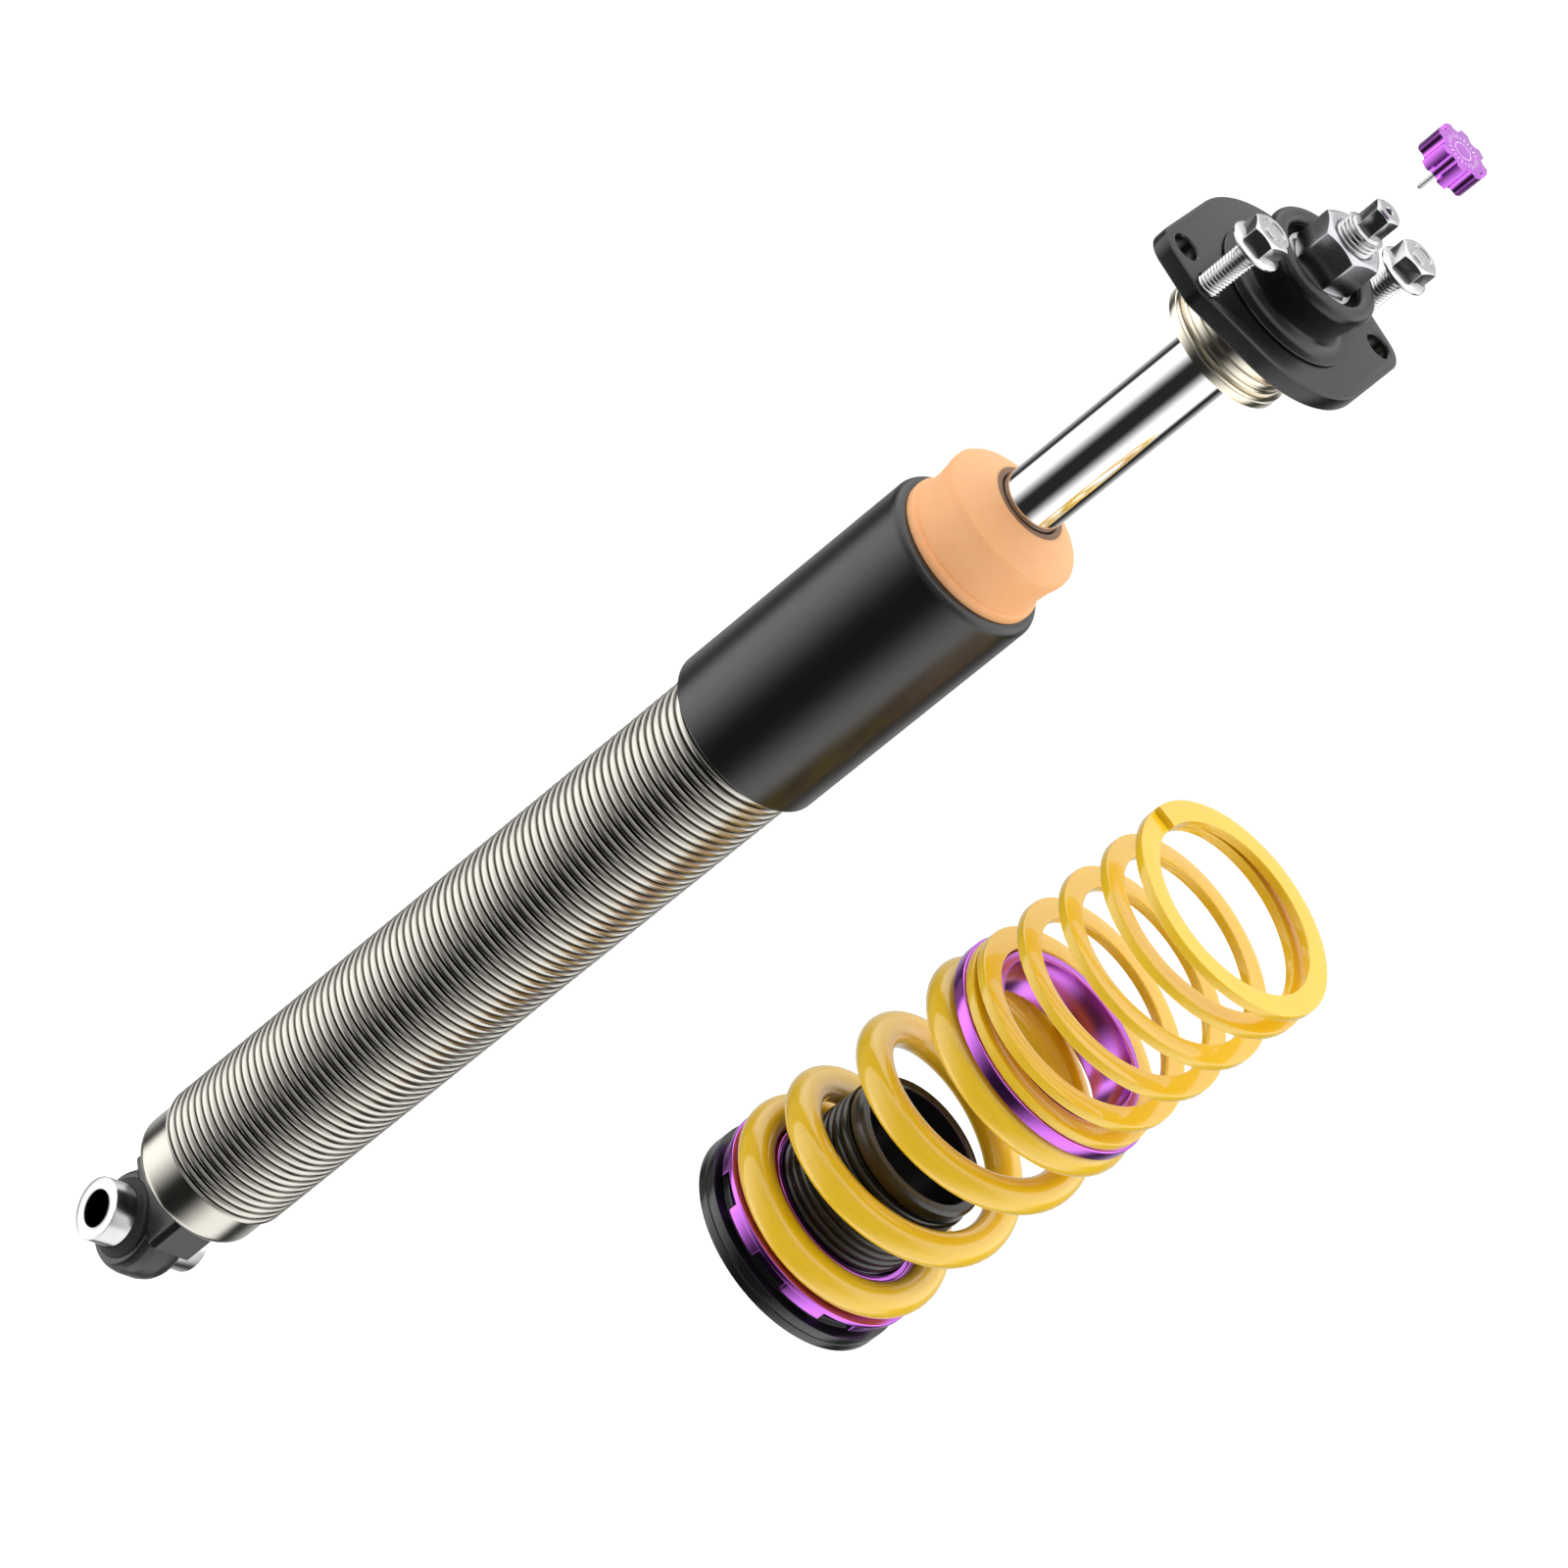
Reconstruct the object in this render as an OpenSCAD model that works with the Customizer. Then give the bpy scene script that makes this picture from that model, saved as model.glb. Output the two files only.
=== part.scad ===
// Rear coilover kit, laid out ready to fit: a twin-tube damper with its top mount
// and rebound knob, beside its spring and height-adjuster unit.
// Millimetres, +Z up the damper axis, +Y along the eye bolt, origin at the centre
// of the lower eye.

/* [Lower eye] */
// Outside diameter of the steel eye sleeve
eye_sleeve_od = 22.5; // [21:0.5:26]
// Bore of the eye sleeve, for the lower bolt
eye_sleeve_id = 13; // [12:0.5:16]
// Length of the eye sleeve
eye_sleeve_len = 41; // [36:0.5:48]
// Wall of the rubber bush around the sleeve
bush_wall = 2; // [1.5:0.25:3]
// Metal around the bush at the two faces of the eye
eye_wall = 3; // [2.5:0.25:4]
// How much fatter the eye is halfway between its faces
eye_belly = 2; // [1:0.5:3]
// Width of the eye housing
eye_w = 17; // [15:0.5:22]
// Depth of the seal pocket in each side of the eye
seal_pocket = 2; // [1:0.5:3]
// How far a seal stands out of its pocket
seal_proud = 3; // [1:0.5:4]

/* [Damper body] */
// Height of the body's bottom edge above the eye centre
body_z = 26.9; // [26.4:0.1:32]
// Length of the body tube
body_len = 290.4; // [240:1:350]
// Outside diameter of the plain part of the body
body_od = 50; // [48:0.5:60]
// Wall of the body tube below the thread
body_wall = 2; // [1.5:0.25:2.5]
// Length of the plain part
body_plain_len = 18.4; // [14:0.5:30]
// Height of the thread's crest above the plain part
body_thread_rise = 1.5; // [1:0.25:2]
// Depth of the body thread
body_thread_depth = 1.2; // [0.8:0.1:1.4]
// Pitch of the body thread
body_pitch = 3.5; // [3:0.25:4.5]
// Radius of the rolled-in bottom edge
body_roll = 5; // [4:0.5:6]
// Wall of the inner pressure tube
pressure_wall = 1.5; // [1:0.25:2]
// Width of the oil space between the two tubes
oil_gap = 3.5; // [2:0.25:5]

/* [Rod and piston] */
// Rod diameter
rod_d = 22; // [18:0.5:26]
// Stroke of the rod
stroke = 158; // [130:1:170]
// Length of rod between the body and the support cup
rod_shown = 204; // [200:1:240]
// Height of the piston
piston_h = 16; // [12:1:20]
// Diameter of the threaded stud at the rod's top
stud_d = 14; // [12:1:14]
// Bore down the rod for the adjuster needle
needle_bore = 4; // [3:0.25:5]

/* [Cover and bump stop] */
// Outside diameter of the cover tube
cover_od = 60; // [58:0.5:74]
// Wall of the cover tube
cover_wall = 2.5; // [1.5:0.25:2.5]
// Length of the cover tube
cover_len = 103; // [90:1:130]
// How far the cover hangs over the body
cover_overlap = 10; // [6:1:30]
// Height of the bump stop above the cover
bump_shown = 27; // [20:1:30]
// Length of the bump stop inside the cover
bump_hidden = 17; // [12:1:22]

/* [Top mount] */
// Distance from the support cup's underside to the ball centre
ball_rise = 31; // [30:0.5:36]
// Diameter of the bearing ball
ball_d = 24; // [22:0.5:26]
// Thickness of the mount plate
plate_t = 6.5; // [5:0.5:8]
// Radius of the plate's round middle
plate_r = 37; // [35:0.5:42]
// Circle of the two plain holes
plain_pcd = 84.4; // [80:0.5:94]
// Diameter of the plain holes
plain_hole_d = 9; // [8:0.5:11]
// Circle of the two mount bolts
bolt_pcd = 77.8; // [76:0.5:86]
// Thread diameter of the mount bolts
bolt_d = 8; // [6:1:8]
// How far the bolt flanges stand above the plate
bolt_lift = 19; // [12:0.5:20]
// Length of a mount bolt under its flange
bolt_len = 27; // [25:1:32]
// Outside radius of the dome's rolled rim
dome_r = 21.3; // [20.5:0.1:23]
// Radius of the dome's opening
dome_bore_r = 15; // [15:0.1:16]
// Width across flats of the top nut
top_nut_af = 21; // [19:1:22]
// Height of the top nut
top_nut_h = 15; // [10:0.5:18]

/* [Knob] */
// Diameter of the rebound knob
knob_d = 20; // [18:0.5:28]
// Thickness of the knob
knob_h = 8.5; // [6:0.5:10]
// How far the knob is lifted off the rod's tip
knob_lift = 21.5; // [18:0.5:26]
// Diameter of the knob's pin
pin_d = 1.5; // [1:0.1:1.6]

/* [Spring unit] */
// Distance between the damper axis and the spring axis
unit_offset = 137; // [125:1:180]
// Height of the unit's base above the eye centre
unit_z = 200.7; // [170:0.1:250]
// Inside diameter of the main spring
spring_id = 59.5; // [59.5:0.5:72]
// Wire diameter of the main spring
wire_d = 12; // [10:0.5:13]
// Free length of the main spring
spring_len = 103.2; // [95:0.2:130]
// Inside diameter of the helper spring
helper_id = 63; // [62:0.2:75]
// Radial width of the helper spring's flat wire
helper_w = 8; // [6:0.5:9]
// Thickness of the helper spring's flat wire
helper_t = 3.5; // [3:0.25:4]
// Free length of the helper spring
helper_len = 81; // [78:1:100]
// Outside diameter of the adjuster sleeve's thread
sleeve_od = 53.8; // [50:0.1:54]
// Bore of the adjuster sleeve
sleeve_id = 44; // [40:0.5:46]
// Length of the adjuster sleeve
sleeve_len = 61.6; // [60:0.1:80]
// Pitch of the sleeve thread
sleeve_pitch = 3.4; // [3:0.1:4]
// Thickness of the base ring
base_t = 7; // [5:0.2:9]
// Height of the base ring's hub
hub_t = 2.4; // [2:0.1:5]
// Height of the collar's castellated part
collar_t = 4.6; // [4:0.1:7]
// Number of spanner slots in the collar
slots = 8; // [6:1:10]

/* [Hidden] */
$fn = 96;
eps = 0.01;
// Clearances: running fits, parts that turn on each other, and parts that only pass
run = 0.05;
face_gap = 0.05;
loose = 0.5;

// Lower eye
eye_sleeve_r = eye_sleeve_od / 2;
bush_r = eye_sleeve_r + bush_wall;
seal_r = bush_r + 1;
eye_r = bush_r + eye_wall;
neck_x = eye_r + eye_belly + 1;
neck_y = eye_w / 2 + 0.7;
neck_z = 9;
eye_run = eye_sleeve_r + run;

// Damper body and what it holds
body_r = body_od / 2;
tube_r = body_r - body_wall;
body_top = body_z + body_len;
thread_z = body_z + body_plain_len;
crest_r = body_r + body_thread_rise;
root_r = crest_r - body_thread_depth;
boss_r = body_r - body_roll;
dish_z = body_z + body_roll + 3.4;
dish_t = 4;
pressure_r = tube_r - oil_gap;
cylinder_r = pressure_r - pressure_wall;
valve_flange = 4;
valve_plug = 6;
pressure_z = dish_z + dish_t + valve_flange;
gland_h = 8;
seal_h = 4;
guide_h = 10;
guide_spigot = 6;
seal_z = body_top - gland_h;
guide_z = seal_z - guide_h;
guide_low = guide_z - guide_spigot;

// Rod and piston
rod_r = rod_d / 2;
rod_run = rod_r + run;
stud_r = stud_d / 2;
cup_z = body_top + rod_shown;
cup_seat = 2;
shoulder_z = cup_z + cup_seat;
stop_h = 10.7;
stop_z = guide_low - 0.3 - stop_h;
rod_step = stop_z - 25;
piston_stud_r = 5;
shim_t = 0.6;
rebound_n = 5;
compression_n = 4;
piston_top = rod_step - rebound_n * shim_t;
piston_z = piston_top - piston_h;
piston_nut_h = 8;
piston_nut_top = piston_z - compression_n * shim_t;
rod_z = piston_nut_top - piston_nut_h - 1;
needle_r = needle_bore / 2;

// Cover and bump stop
cover_r = cover_od / 2;
cover_in = cover_r - cover_wall;
cover_z = body_top - cover_overlap;
cover_top = cover_z + cover_len;
bump_z = cover_top - bump_hidden;
bump_top = cover_top + bump_shown;
bump_bush_t = 2;

// Top mount, from the ball outwards
ball_r = ball_d / 2;
ball_z = cup_z + ball_rise;
ball_half = 7;
race_half = 4.2;
race_z = ball_z - race_half;
plate_top = ball_z - 5;
plate_z = plate_top - plate_t;
dome_lip_r = dome_bore_r - 2;
dome_flange_r = dome_r + 4.2;
dome_flange_t = 1;
dome_neck_r = dome_bore_r + 2;
rim_tube = (dome_r - dome_bore_r) / 2;
rim_z = plate_top + 15.5;
circlip_t = 1;
cup_r = rod_r + 11.5;
cup_t = 4;
ring_r = cup_r - 1.5;
ring_top = cup_z + 14.5;
spacer_r = stud_r + 2.5;
washer_r = dome_bore_r - 1.7;
washer_t = 3;
nut_z = ball_z + ball_half + washer_t;
nut_top = nut_z + top_nut_h;
thread_shown = 5;
tip_z = nut_top + thread_shown;
// Turn of the nut, the rod's tip and each bolt head about its own axis
nut_turn = 42;
front_turn = 42;
rear_turn = -10;
tip_h = 9;
tip_af = 9;
rod_top = tip_z + tip_h;
plain_hole_a = -89.5;
bolt_a = -70.6;
lobe_wall = 3.8;
bolt_r = bolt_d / 2;
bolt_flange_r = bolt_r + 5;
bolt_flange_t = 2;
bolt_af = bolt_d + 5;
bolt_head_h = 8;
bolt_z = plate_top + bolt_lift;

// Needle and knob
tip_bore_r = 1.25;
needle_clear = 0.1;
needle_z = rod_z + 10;
stem_z = tip_z - 6;
stem_top = rod_top - 6;
pin_r = pin_d / 2;
knob_r = knob_d / 2;
knob_z = rod_top + knob_lift;
pin_z = knob_z - 9.8;
lobes = 8;
knob_turn = 21.5;

// Spring unit, from its base up
unit_a = 44;
sleeve_r = sleeve_od / 2;
sleeve_plain_r = sleeve_r - 0.65;
sleeve_root_r = sleeve_r - 1.2;
sleeve_in = sleeve_id / 2;
hub_z = unit_z + base_t;
collar_z = hub_z + hub_t + face_gap;
seat_z = collar_z + collar_t + face_gap;
seat_t = 2;
spring_z = seat_z + seat_t;
spring_in = spring_id / 2;
spring_r = spring_in + wire_d;
thread_in = sleeve_r + 0.35;
base_r = spring_r - 1;
hub_r = base_r - 4.5;
collar_r = base_r - 1.7;
slot_depth = 5;
slot_deg = 19.5;
guide_neck_r = spring_in - 0.3;
seat_neck = 9.5;
spring_plate_z = spring_z + spring_len;
spring_plate_t = 4.6;
plate_neck_low = 8;
plate_neck_high = 6;
plate_in = guide_neck_r - 1.7;
helper_in = helper_id / 2;
helper_z = spring_plate_z + spring_plate_t;
rim_plain = 6;

// ---- shapes that repeat ----

// Tube or ring from height z, with outside radius ro and inside radius ri
module ring(z, h, ro, ri) {
    translate([0, 0, z]) difference() {
        cylinder(h = h, r = ro);
        translate([0, 0, -1]) cylinder(h = h + 2, r = ri);
    }
}

// Ring along the eye bolt, centred on the eye
module eye_ring(w, ro, ri) {
    rotate([90, 0, 0]) translate([0, 0, -w / 2]) ring(0, w, ro, ri);
}

// Hexagonal prism with its corners turned off at the top
module hex_prism(z, h, af, chamfer, turn) {
    corner_r = af / sqrt(3);
    intersection() {
        translate([0, 0, z]) rotate([0, 0, turn]) cylinder(h = h, r = corner_r, $fn = 6);
        translate([0, 0, z]) rotate_extrude() polygon([
            [0, 0], [corner_r + 1, 0], [corner_r + 1, h - chamfer - 0.6],
            [af / 2 - chamfer / 2, h], [0, h]
        ]);
    }
}

// Points of a thread's outline from z0 to z1: a row of crests and roots
function thread_points(z0, z1, pitch, crest, root) = [
    for (k = [0 : floor((z1 - z0) / pitch) - 1])
        for (p = [[root, 0], [root, 0.2], [crest, 0.4], [crest, 0.85]])
            [p[0], z0 + (k + p[1]) * pitch]
];

// Places what belongs to the spring unit on its own axis
module on_unit() {
    translate([unit_offset * cos(unit_a), unit_offset * sin(unit_a), 0])
        rotate([0, 0, unit_a - 90]) children();
}

// Height that a coil has climbed at turn u: level ends, eased over w turns
function eased(x, w) = x < -w ? 0 : x > w ? x : (x + w) * (x + w) / (4 * w);
function climb(u, from, to, w) = eased(u - from, w) - eased(u - to, w);

// Solid swept along a coil: section is a list of [radial, axial] points
module coil(section, mean_r, z0, rise, from, to, ease, tail, per_turn) {
    u0 = from - tail;
    u1 = to + tail;
    steps = ceil((u1 - u0) * per_turn);
    pitch = rise / (to - from);
    m = len(section);
    points = [
        for (i = [0 : steps])
            let (u = u0 + (u1 - u0) * i / steps, a = u * 360)
                for (s = section)
                    [(mean_r + s[0]) * cos(a), (mean_r + s[0]) * sin(a),
                        z0 + pitch * climb(u, from, to, ease) + s[1]]
    ];
    sides = [
        for (i = [0 : steps - 1])
            for (j = [0 : m - 1])
                [i * m + j, (i + 1) * m + j, (i + 1) * m + (j + 1) % m, i * m + (j + 1) % m]
    ];
    ends = [[for (j = [0 : m - 1]) j], [for (j = [m - 1 : -1 : 0]) steps * m + j]];
    polyhedron(points = points, faces = concat(sides, ends), convexity = 10);
}

// ---- fixed to the suspension arm ----

module eye_sleeve() {
    color("Silver") eye_ring(eye_sleeve_len, eye_sleeve_r, eye_sleeve_id / 2);
}

module adjuster_sleeve() {
    thread_low = collar_z + 0.5;
    thread_high = unit_z + sleeve_len - rim_plain;
    color("DimGray") on_unit() rotate_extrude() polygon(concat(
        [[sleeve_in, unit_z], [sleeve_plain_r, unit_z], [sleeve_plain_r, thread_low - 0.3]],
        thread_points(thread_low, thread_high, sleeve_pitch, sleeve_r, sleeve_root_r),
        [
            [sleeve_root_r, thread_high], [sleeve_plain_r, thread_high + 0.6],
            [sleeve_plain_r, unit_z + sleeve_len - 1], [sleeve_plain_r - 1, unit_z + sleeve_len],
            [sleeve_in, unit_z + sleeve_len]
        ]
    ));
}

module base_ring() {
    color("Black") on_unit() difference() {
        union() {
            ring(unit_z, base_t, base_r, sleeve_plain_r);
            ring(hub_z, hub_t, hub_r, sleeve_plain_r);
        }
        ring(unit_z + base_t * 0.45, 0.5, base_r + 1, base_r - 0.4);
    }
}

// ---- damper body ----

module lower_eye() {
    half_w = eye_w / 2;
    chamfer = 2;
    color("Black") difference() {
        union() {
            rotate([90, 0, 0]) rotate_extrude() polygon([
                [0, -half_w], [eye_r, -half_w], [eye_r + eye_belly, -half_w / 2],
                [eye_r + eye_belly, half_w / 2], [eye_r, half_w], [0, half_w]
            ]);
            translate([0, 0, neck_z]) linear_extrude(height = body_z - neck_z) polygon([
                [neck_x, neck_y - chamfer], [neck_x - chamfer, neck_y],
                [chamfer - neck_x, neck_y], [-neck_x, neck_y - chamfer],
                [-neck_x, chamfer - neck_y], [chamfer - neck_x, -neck_y],
                [neck_x - chamfer, -neck_y], [neck_x, chamfer - neck_y]
            ]);
            translate([0, 0, body_z - 4]) cylinder(h = dish_z - body_z + 4, r = boss_r);
        }
        rotate([90, 0, 0]) translate([0, 0, -eye_w]) cylinder(h = 2 * eye_w, r = bush_r);
        // The seal pockets are cut right out past the neck, which is a little wider
        for (side = [-90, 90])
            rotate([side, 0, 0]) translate([0, 0, half_w - seal_pocket])
                cylinder(h = seal_pocket + neck_y, r = seal_r);
    }
}

module eye_bush() {
    color("DarkSlateGray") eye_ring(eye_w - 2 * seal_pocket, bush_r, eye_run);
}

module eye_seals() {
    inner_y = eye_w / 2 - seal_pocket;
    outer_y = eye_w / 2 + seal_proud;
    color("Black") for (side = [-90, 90])
        rotate([side, 0, 0]) rotate_extrude() polygon([
            [eye_run, inner_y], [seal_r, inner_y], [seal_r, eye_w / 2 + 0.4],
            [eye_sleeve_r + 0.8, outer_y], [eye_run, outer_y]
        ]);
}

module body_tube() {
    roll = [for (a = [0 : 15 : 90]) [boss_r + body_roll * sin(a), body_z + body_roll * (1 - cos(a))]];
    inner = body_roll - body_wall;
    roll_in = [for (a = [90 : -15 : 0])
        [boss_r + inner * sin(a), body_z + body_roll - inner * cos(a)]];
    color("DarkKhaki") rotate_extrude() polygon(concat(
        roll,
        [[body_r, thread_z - 0.5]],
        thread_points(thread_z, body_top - 2, body_pitch, crest_r, root_r),
        [[root_r, body_top - 2], [root_r, body_top], [tube_r, body_top]],
        roll_in
    ));
}

module base_dish() {
    color("Gray") translate([0, 0, dish_z]) cylinder(h = dish_t, r = tube_r);
}

module base_valve() {
    color("Goldenrod") difference() {
        union() {
            translate([0, 0, dish_z + dish_t]) cylinder(h = valve_flange, r = pressure_r);
            translate([0, 0, pressure_z]) cylinder(h = valve_plug, r = cylinder_r);
        }
        for (a = [0 : 60 : 300])
            rotate([0, 0, a]) translate([cylinder_r * 0.6, 0, pressure_z - 2])
                cylinder(h = valve_plug + 3, r = 1.8);
    }
}

module pressure_tube() {
    color("Silver") ring(pressure_z, guide_z - pressure_z, pressure_r, cylinder_r);
}

module rod_guide() {
    color("LightSlateGray") difference() {
        union() {
            translate([0, 0, guide_low]) cylinder(h = guide_spigot, r = cylinder_r);
            translate([0, 0, guide_z]) cylinder(h = guide_h, r = tube_r);
        }
        translate([0, 0, guide_low - 1])
            cylinder(h = guide_spigot + guide_h + 2, r = rod_run + 1.5);
    }
}

module guide_bush() {
    color("DarkOrange")
        ring(guide_low, guide_spigot + guide_h, rod_run + 1.5, rod_run);
}

module rod_seal() {
    color("Black") ring(seal_z, seal_h, tube_r - 3, rod_run);
}

module gland_nut() {
    color("DimGray") difference() {
        translate([0, 0, seal_z]) cylinder(h = gland_h, r = tube_r);
        translate([0, 0, seal_z - 1]) cylinder(h = seal_h + 1, r = tube_r - 3);
        translate([0, 0, seal_z]) cylinder(h = gland_h + 1, r = rod_r + 1);
        translate([0, 0, body_top - 2]) cylinder(h = 3, r = rod_r + 3.5);
    }
}

module rod_wiper() {
    color("Black") ring(body_top - 2, 2.4, rod_r + 3.5, rod_run);
}

// ---- piston rod ----

module piston_rod() {
    color("Gainsboro") difference() {
        union() {
            translate([0, 0, rod_z]) cylinder(h = rod_step - rod_z, r = piston_stud_r);
            translate([0, 0, rod_step]) cylinder(h = shoulder_z - rod_step, r = rod_r);
            translate([0, 0, shoulder_z]) cylinder(h = tip_z - 1 - shoulder_z, r = stud_r);
            translate([0, 0, tip_z - 1]) cylinder(h = 1, r = stud_r - 0.8);
            hex_prism(tip_z, tip_h, tip_af, 0.8, nut_turn);
        }
        translate([0, 0, rod_z - 1]) cylinder(h = tip_z - 1 - rod_z, r = needle_r);
        translate([0, 0, tip_z - 3]) cylinder(h = tip_h + 4, r = tip_bore_r);
    }
}

module piston() {
    color("Gold") difference() {
        ring(piston_z, piston_h, cylinder_r - 0.35, piston_stud_r);
        ring(piston_z + 4, piston_h - 8, cylinder_r, cylinder_r - 2);
        for (a = [0 : 60 : 300])
            rotate([0, 0, a]) translate([cylinder_r * 0.62, 0, piston_z - 1])
                cylinder(h = piston_h + 2, r = 1.6);
    }
}

module piston_band() {
    color("SaddleBrown") ring(piston_z + 4, piston_h - 8, cylinder_r - run, cylinder_r - 2);
}

// Stack of spring-steel discs, the widest against the piston
module shims(z, n, up) {
    for (k = [0 : n - 1]) {
        widest = cylinder_r * 0.78;
        ring(up ? z + k * shim_t : z - (k + 1) * shim_t, shim_t, widest - 1.2 * k, piston_stud_r);
    }
}

module rebound_shims() {
    color("LightSteelBlue") shims(piston_top, rebound_n, true);
}

module compression_shims() {
    color("LightSteelBlue") shims(piston_z, compression_n, false);
}

module piston_nut() {
    color("Gray") difference() {
        translate([0, 0, piston_nut_top]) mirror([0, 0, 1]) hex_prism(0, piston_nut_h, 15, 1, 0);
        translate([0, 0, piston_nut_top - piston_nut_h - 1])
            cylinder(h = piston_nut_h + 2, r = piston_stud_r);
    }
}

module rebound_stop() {
    color("Black") ring(stop_z, stop_h, cylinder_r - 2.5, rod_r);
}

module support_cup() {
    color("Tan") difference() {
        translate([0, 0, cup_z]) rotate_extrude() polygon([
            [0, 0], [cup_r - 0.6, 0], [cup_r, 0.6], [cup_r, cup_t - 0.8],
            [cup_r - 0.8, cup_t], [0, cup_t]
        ]);
        translate([0, 0, cup_z - 1]) cylinder(h = cup_seat + 1, r = rod_r);
        translate([0, 0, cup_z]) cylinder(h = cup_t + 1, r = stud_r);
    }
}

module support_ring() {
    z = cup_z + cup_t;
    h = ring_top - z;
    color("Tan") translate([0, 0, z]) rotate_extrude() polygon([
        [stud_r, 0], [ring_r, 0], [ring_r, 1.8], [ring_r - 0.7, 2], [ring_r - 0.7, 2.6],
        [ring_r, 2.8], [ring_r, 4.6], [ring_r - 0.9, 4.8], [ring_r - 0.9, 5.4],
        [ring_r - 0.2, 5.6], [ring_r - 0.2, h - 1.2], [ring_r - 1.4, h], [stud_r, h]
    ]);
}

module ball_spacer() {
    color("Silver") ring(ring_top, ball_z - ball_half - ring_top, spacer_r, stud_r);
}

module bearing_ball() {
    color("WhiteSmoke") translate([0, 0, ball_z]) difference() {
        intersection() {
            sphere(r = ball_r);
            translate([0, 0, -ball_half]) cylinder(h = 2 * ball_half, r = ball_r + 1);
        }
        translate([0, 0, -ball_r]) cylinder(h = 2 * ball_r, r = stud_r);
    }
}

module top_washer() {
    color("WhiteSmoke") ring(ball_z + ball_half, washer_t, washer_r, stud_r);
}

module top_nut() {
    color("SlateGray") difference() {
        hex_prism(nut_z, top_nut_h, top_nut_af, 1.2, nut_turn);
        translate([0, 0, nut_z - 1]) cylinder(h = top_nut_h + 2, r = stud_r);
    }
}

// ---- cover and bump stop ----

module cover_tube() {
    lip = cover_wall + 1;
    low = [for (a = [0 : 30 : 90])
        [cover_r - cover_wall + cover_wall * sin(a), cover_z + cover_wall * (1 - cos(a))]];
    high = [for (a = [0 : 15 : 90])
        [cover_r - lip + lip * cos(a), cover_top - lip + lip * sin(a)]];
    color("Black") rotate_extrude() polygon(concat(
        low, high, [[cover_in - 1, cover_top - 1.5], [cover_in, cover_top - 3]]
    ));
}

module bump_stop() {
    lip = cover_in - 1;
    color("SandyBrown") difference() {
        rotate_extrude() polygon([
            [0, bump_z], [cover_in - 4, bump_z], [cover_in, bump_z + 4],
            [cover_in, cover_top - 3], [lip, cover_top - 1.5], [lip, cover_top + 2.2],
            [lip - 1.2, cover_top + 3.2], [lip - 1.8, cover_top + 7],
            [lip - 1.4, cover_top + 13], [lip - 0.7, bump_top - 9],
            [lip - 1.3, bump_top - 7], [rod_r + 3.6, bump_top - 0.4],
            [rod_r + 2.9, bump_top], [0, bump_top]
        ]);
        translate([0, 0, bump_z - 1])
            cylinder(h = bump_top - bump_z + 2, r = rod_r + loose + bump_bush_t);
    }
}

module bump_bush() {
    color("SaddleBrown")
        ring(bump_z, bump_top - bump_z, rod_r + loose + bump_bush_t, rod_r + loose);
}

// ---- top mount ----

// Places its children at both ends of a diameter at radius r and bearing a
module opposite(r, a) {
    for (turn = [0, 180]) rotate([0, 0, a + turn]) translate([r, 0, 0]) children();
}

module mount_plate() {
    color("Black") difference() {
        translate([0, 0, plate_z]) linear_extrude(height = plate_t) hull() {
            circle(r = plate_r, $fn = 96);
            opposite(plain_pcd / 2, plain_hole_a) circle(r = plain_hole_d / 2 + lobe_wall, $fn = 48);
            opposite(bolt_pcd / 2, bolt_a) circle(r = bolt_r + lobe_wall - 1, $fn = 48);
        }
        translate([0, 0, plate_z - 1]) cylinder(h = plate_t + 2, r = dome_neck_r);
        translate([0, 0, plate_z - 1]) opposite(plain_pcd / 2, plain_hole_a)
            cylinder(h = plate_t + 2, r = plain_hole_d / 2);
        translate([0, 0, plate_z - 1]) opposite(bolt_pcd / 2, bolt_a)
            cylinder(h = plate_t + 2, r = bolt_r + run);
    }
}

module bearing_dome() {
    wall_r = dome_r - 2.1;
    flange_z = plate_top + dome_flange_t;
    mid_r = dome_r - rim_tube;
    fillet = [for (a = [0 : 15 : 90])
        [wall_r + 4 * (1 - sin(a)), flange_z + 4 * (1 - cos(a))]];
    rim = [for (a = [-40 : 20 : 180])
        [mid_r + rim_tube * cos(a), rim_z + rim_tube * sin(a)]];
    color("Black") rotate_extrude() polygon(concat(
        [
            [dome_lip_r, race_z - 3], [dome_lip_r, plate_z + 1.5], [dome_neck_r, plate_z + 1.5],
            [dome_neck_r, plate_top], [dome_flange_r, plate_top],
            [dome_flange_r, flange_z]
        ],
        fillet, rim,
        [[dome_bore_r, race_z], [dome_lip_r, race_z]]
    ));
}

module bearing_race() {
    color("Silver") difference() {
        translate([0, 0, race_z]) cylinder(h = 2 * race_half, r = dome_bore_r);
        translate([0, 0, ball_z]) sphere(r = ball_r + run);
    }
}

module race_circlip() {
    color("DimGray")
        ring(ball_z + race_half, circlip_t, dome_bore_r, dome_bore_r - 1.8);
}

// One mount bolt on its own axis, with its head turned by the given angle
module mount_bolt(turn) {
    translate([0, 0, bolt_z - bolt_len]) cylinder(h = bolt_len, r = bolt_r);
    translate([0, 0, bolt_z]) cylinder(h = bolt_flange_t, r = bolt_flange_r);
    hex_prism(bolt_z, bolt_head_h, bolt_af, 1.2, turn);
}

module front_mount_bolt() {
    color("Silver") rotate([0, 0, bolt_a]) translate([bolt_pcd / 2, 0, 0])
        mount_bolt(front_turn - bolt_a);
}

module rear_mount_bolt() {
    color("Silver") rotate([0, 0, bolt_a + 180]) translate([bolt_pcd / 2, 0, 0])
        mount_bolt(rear_turn - bolt_a);
}

// ---- rebound adjuster ----

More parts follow.
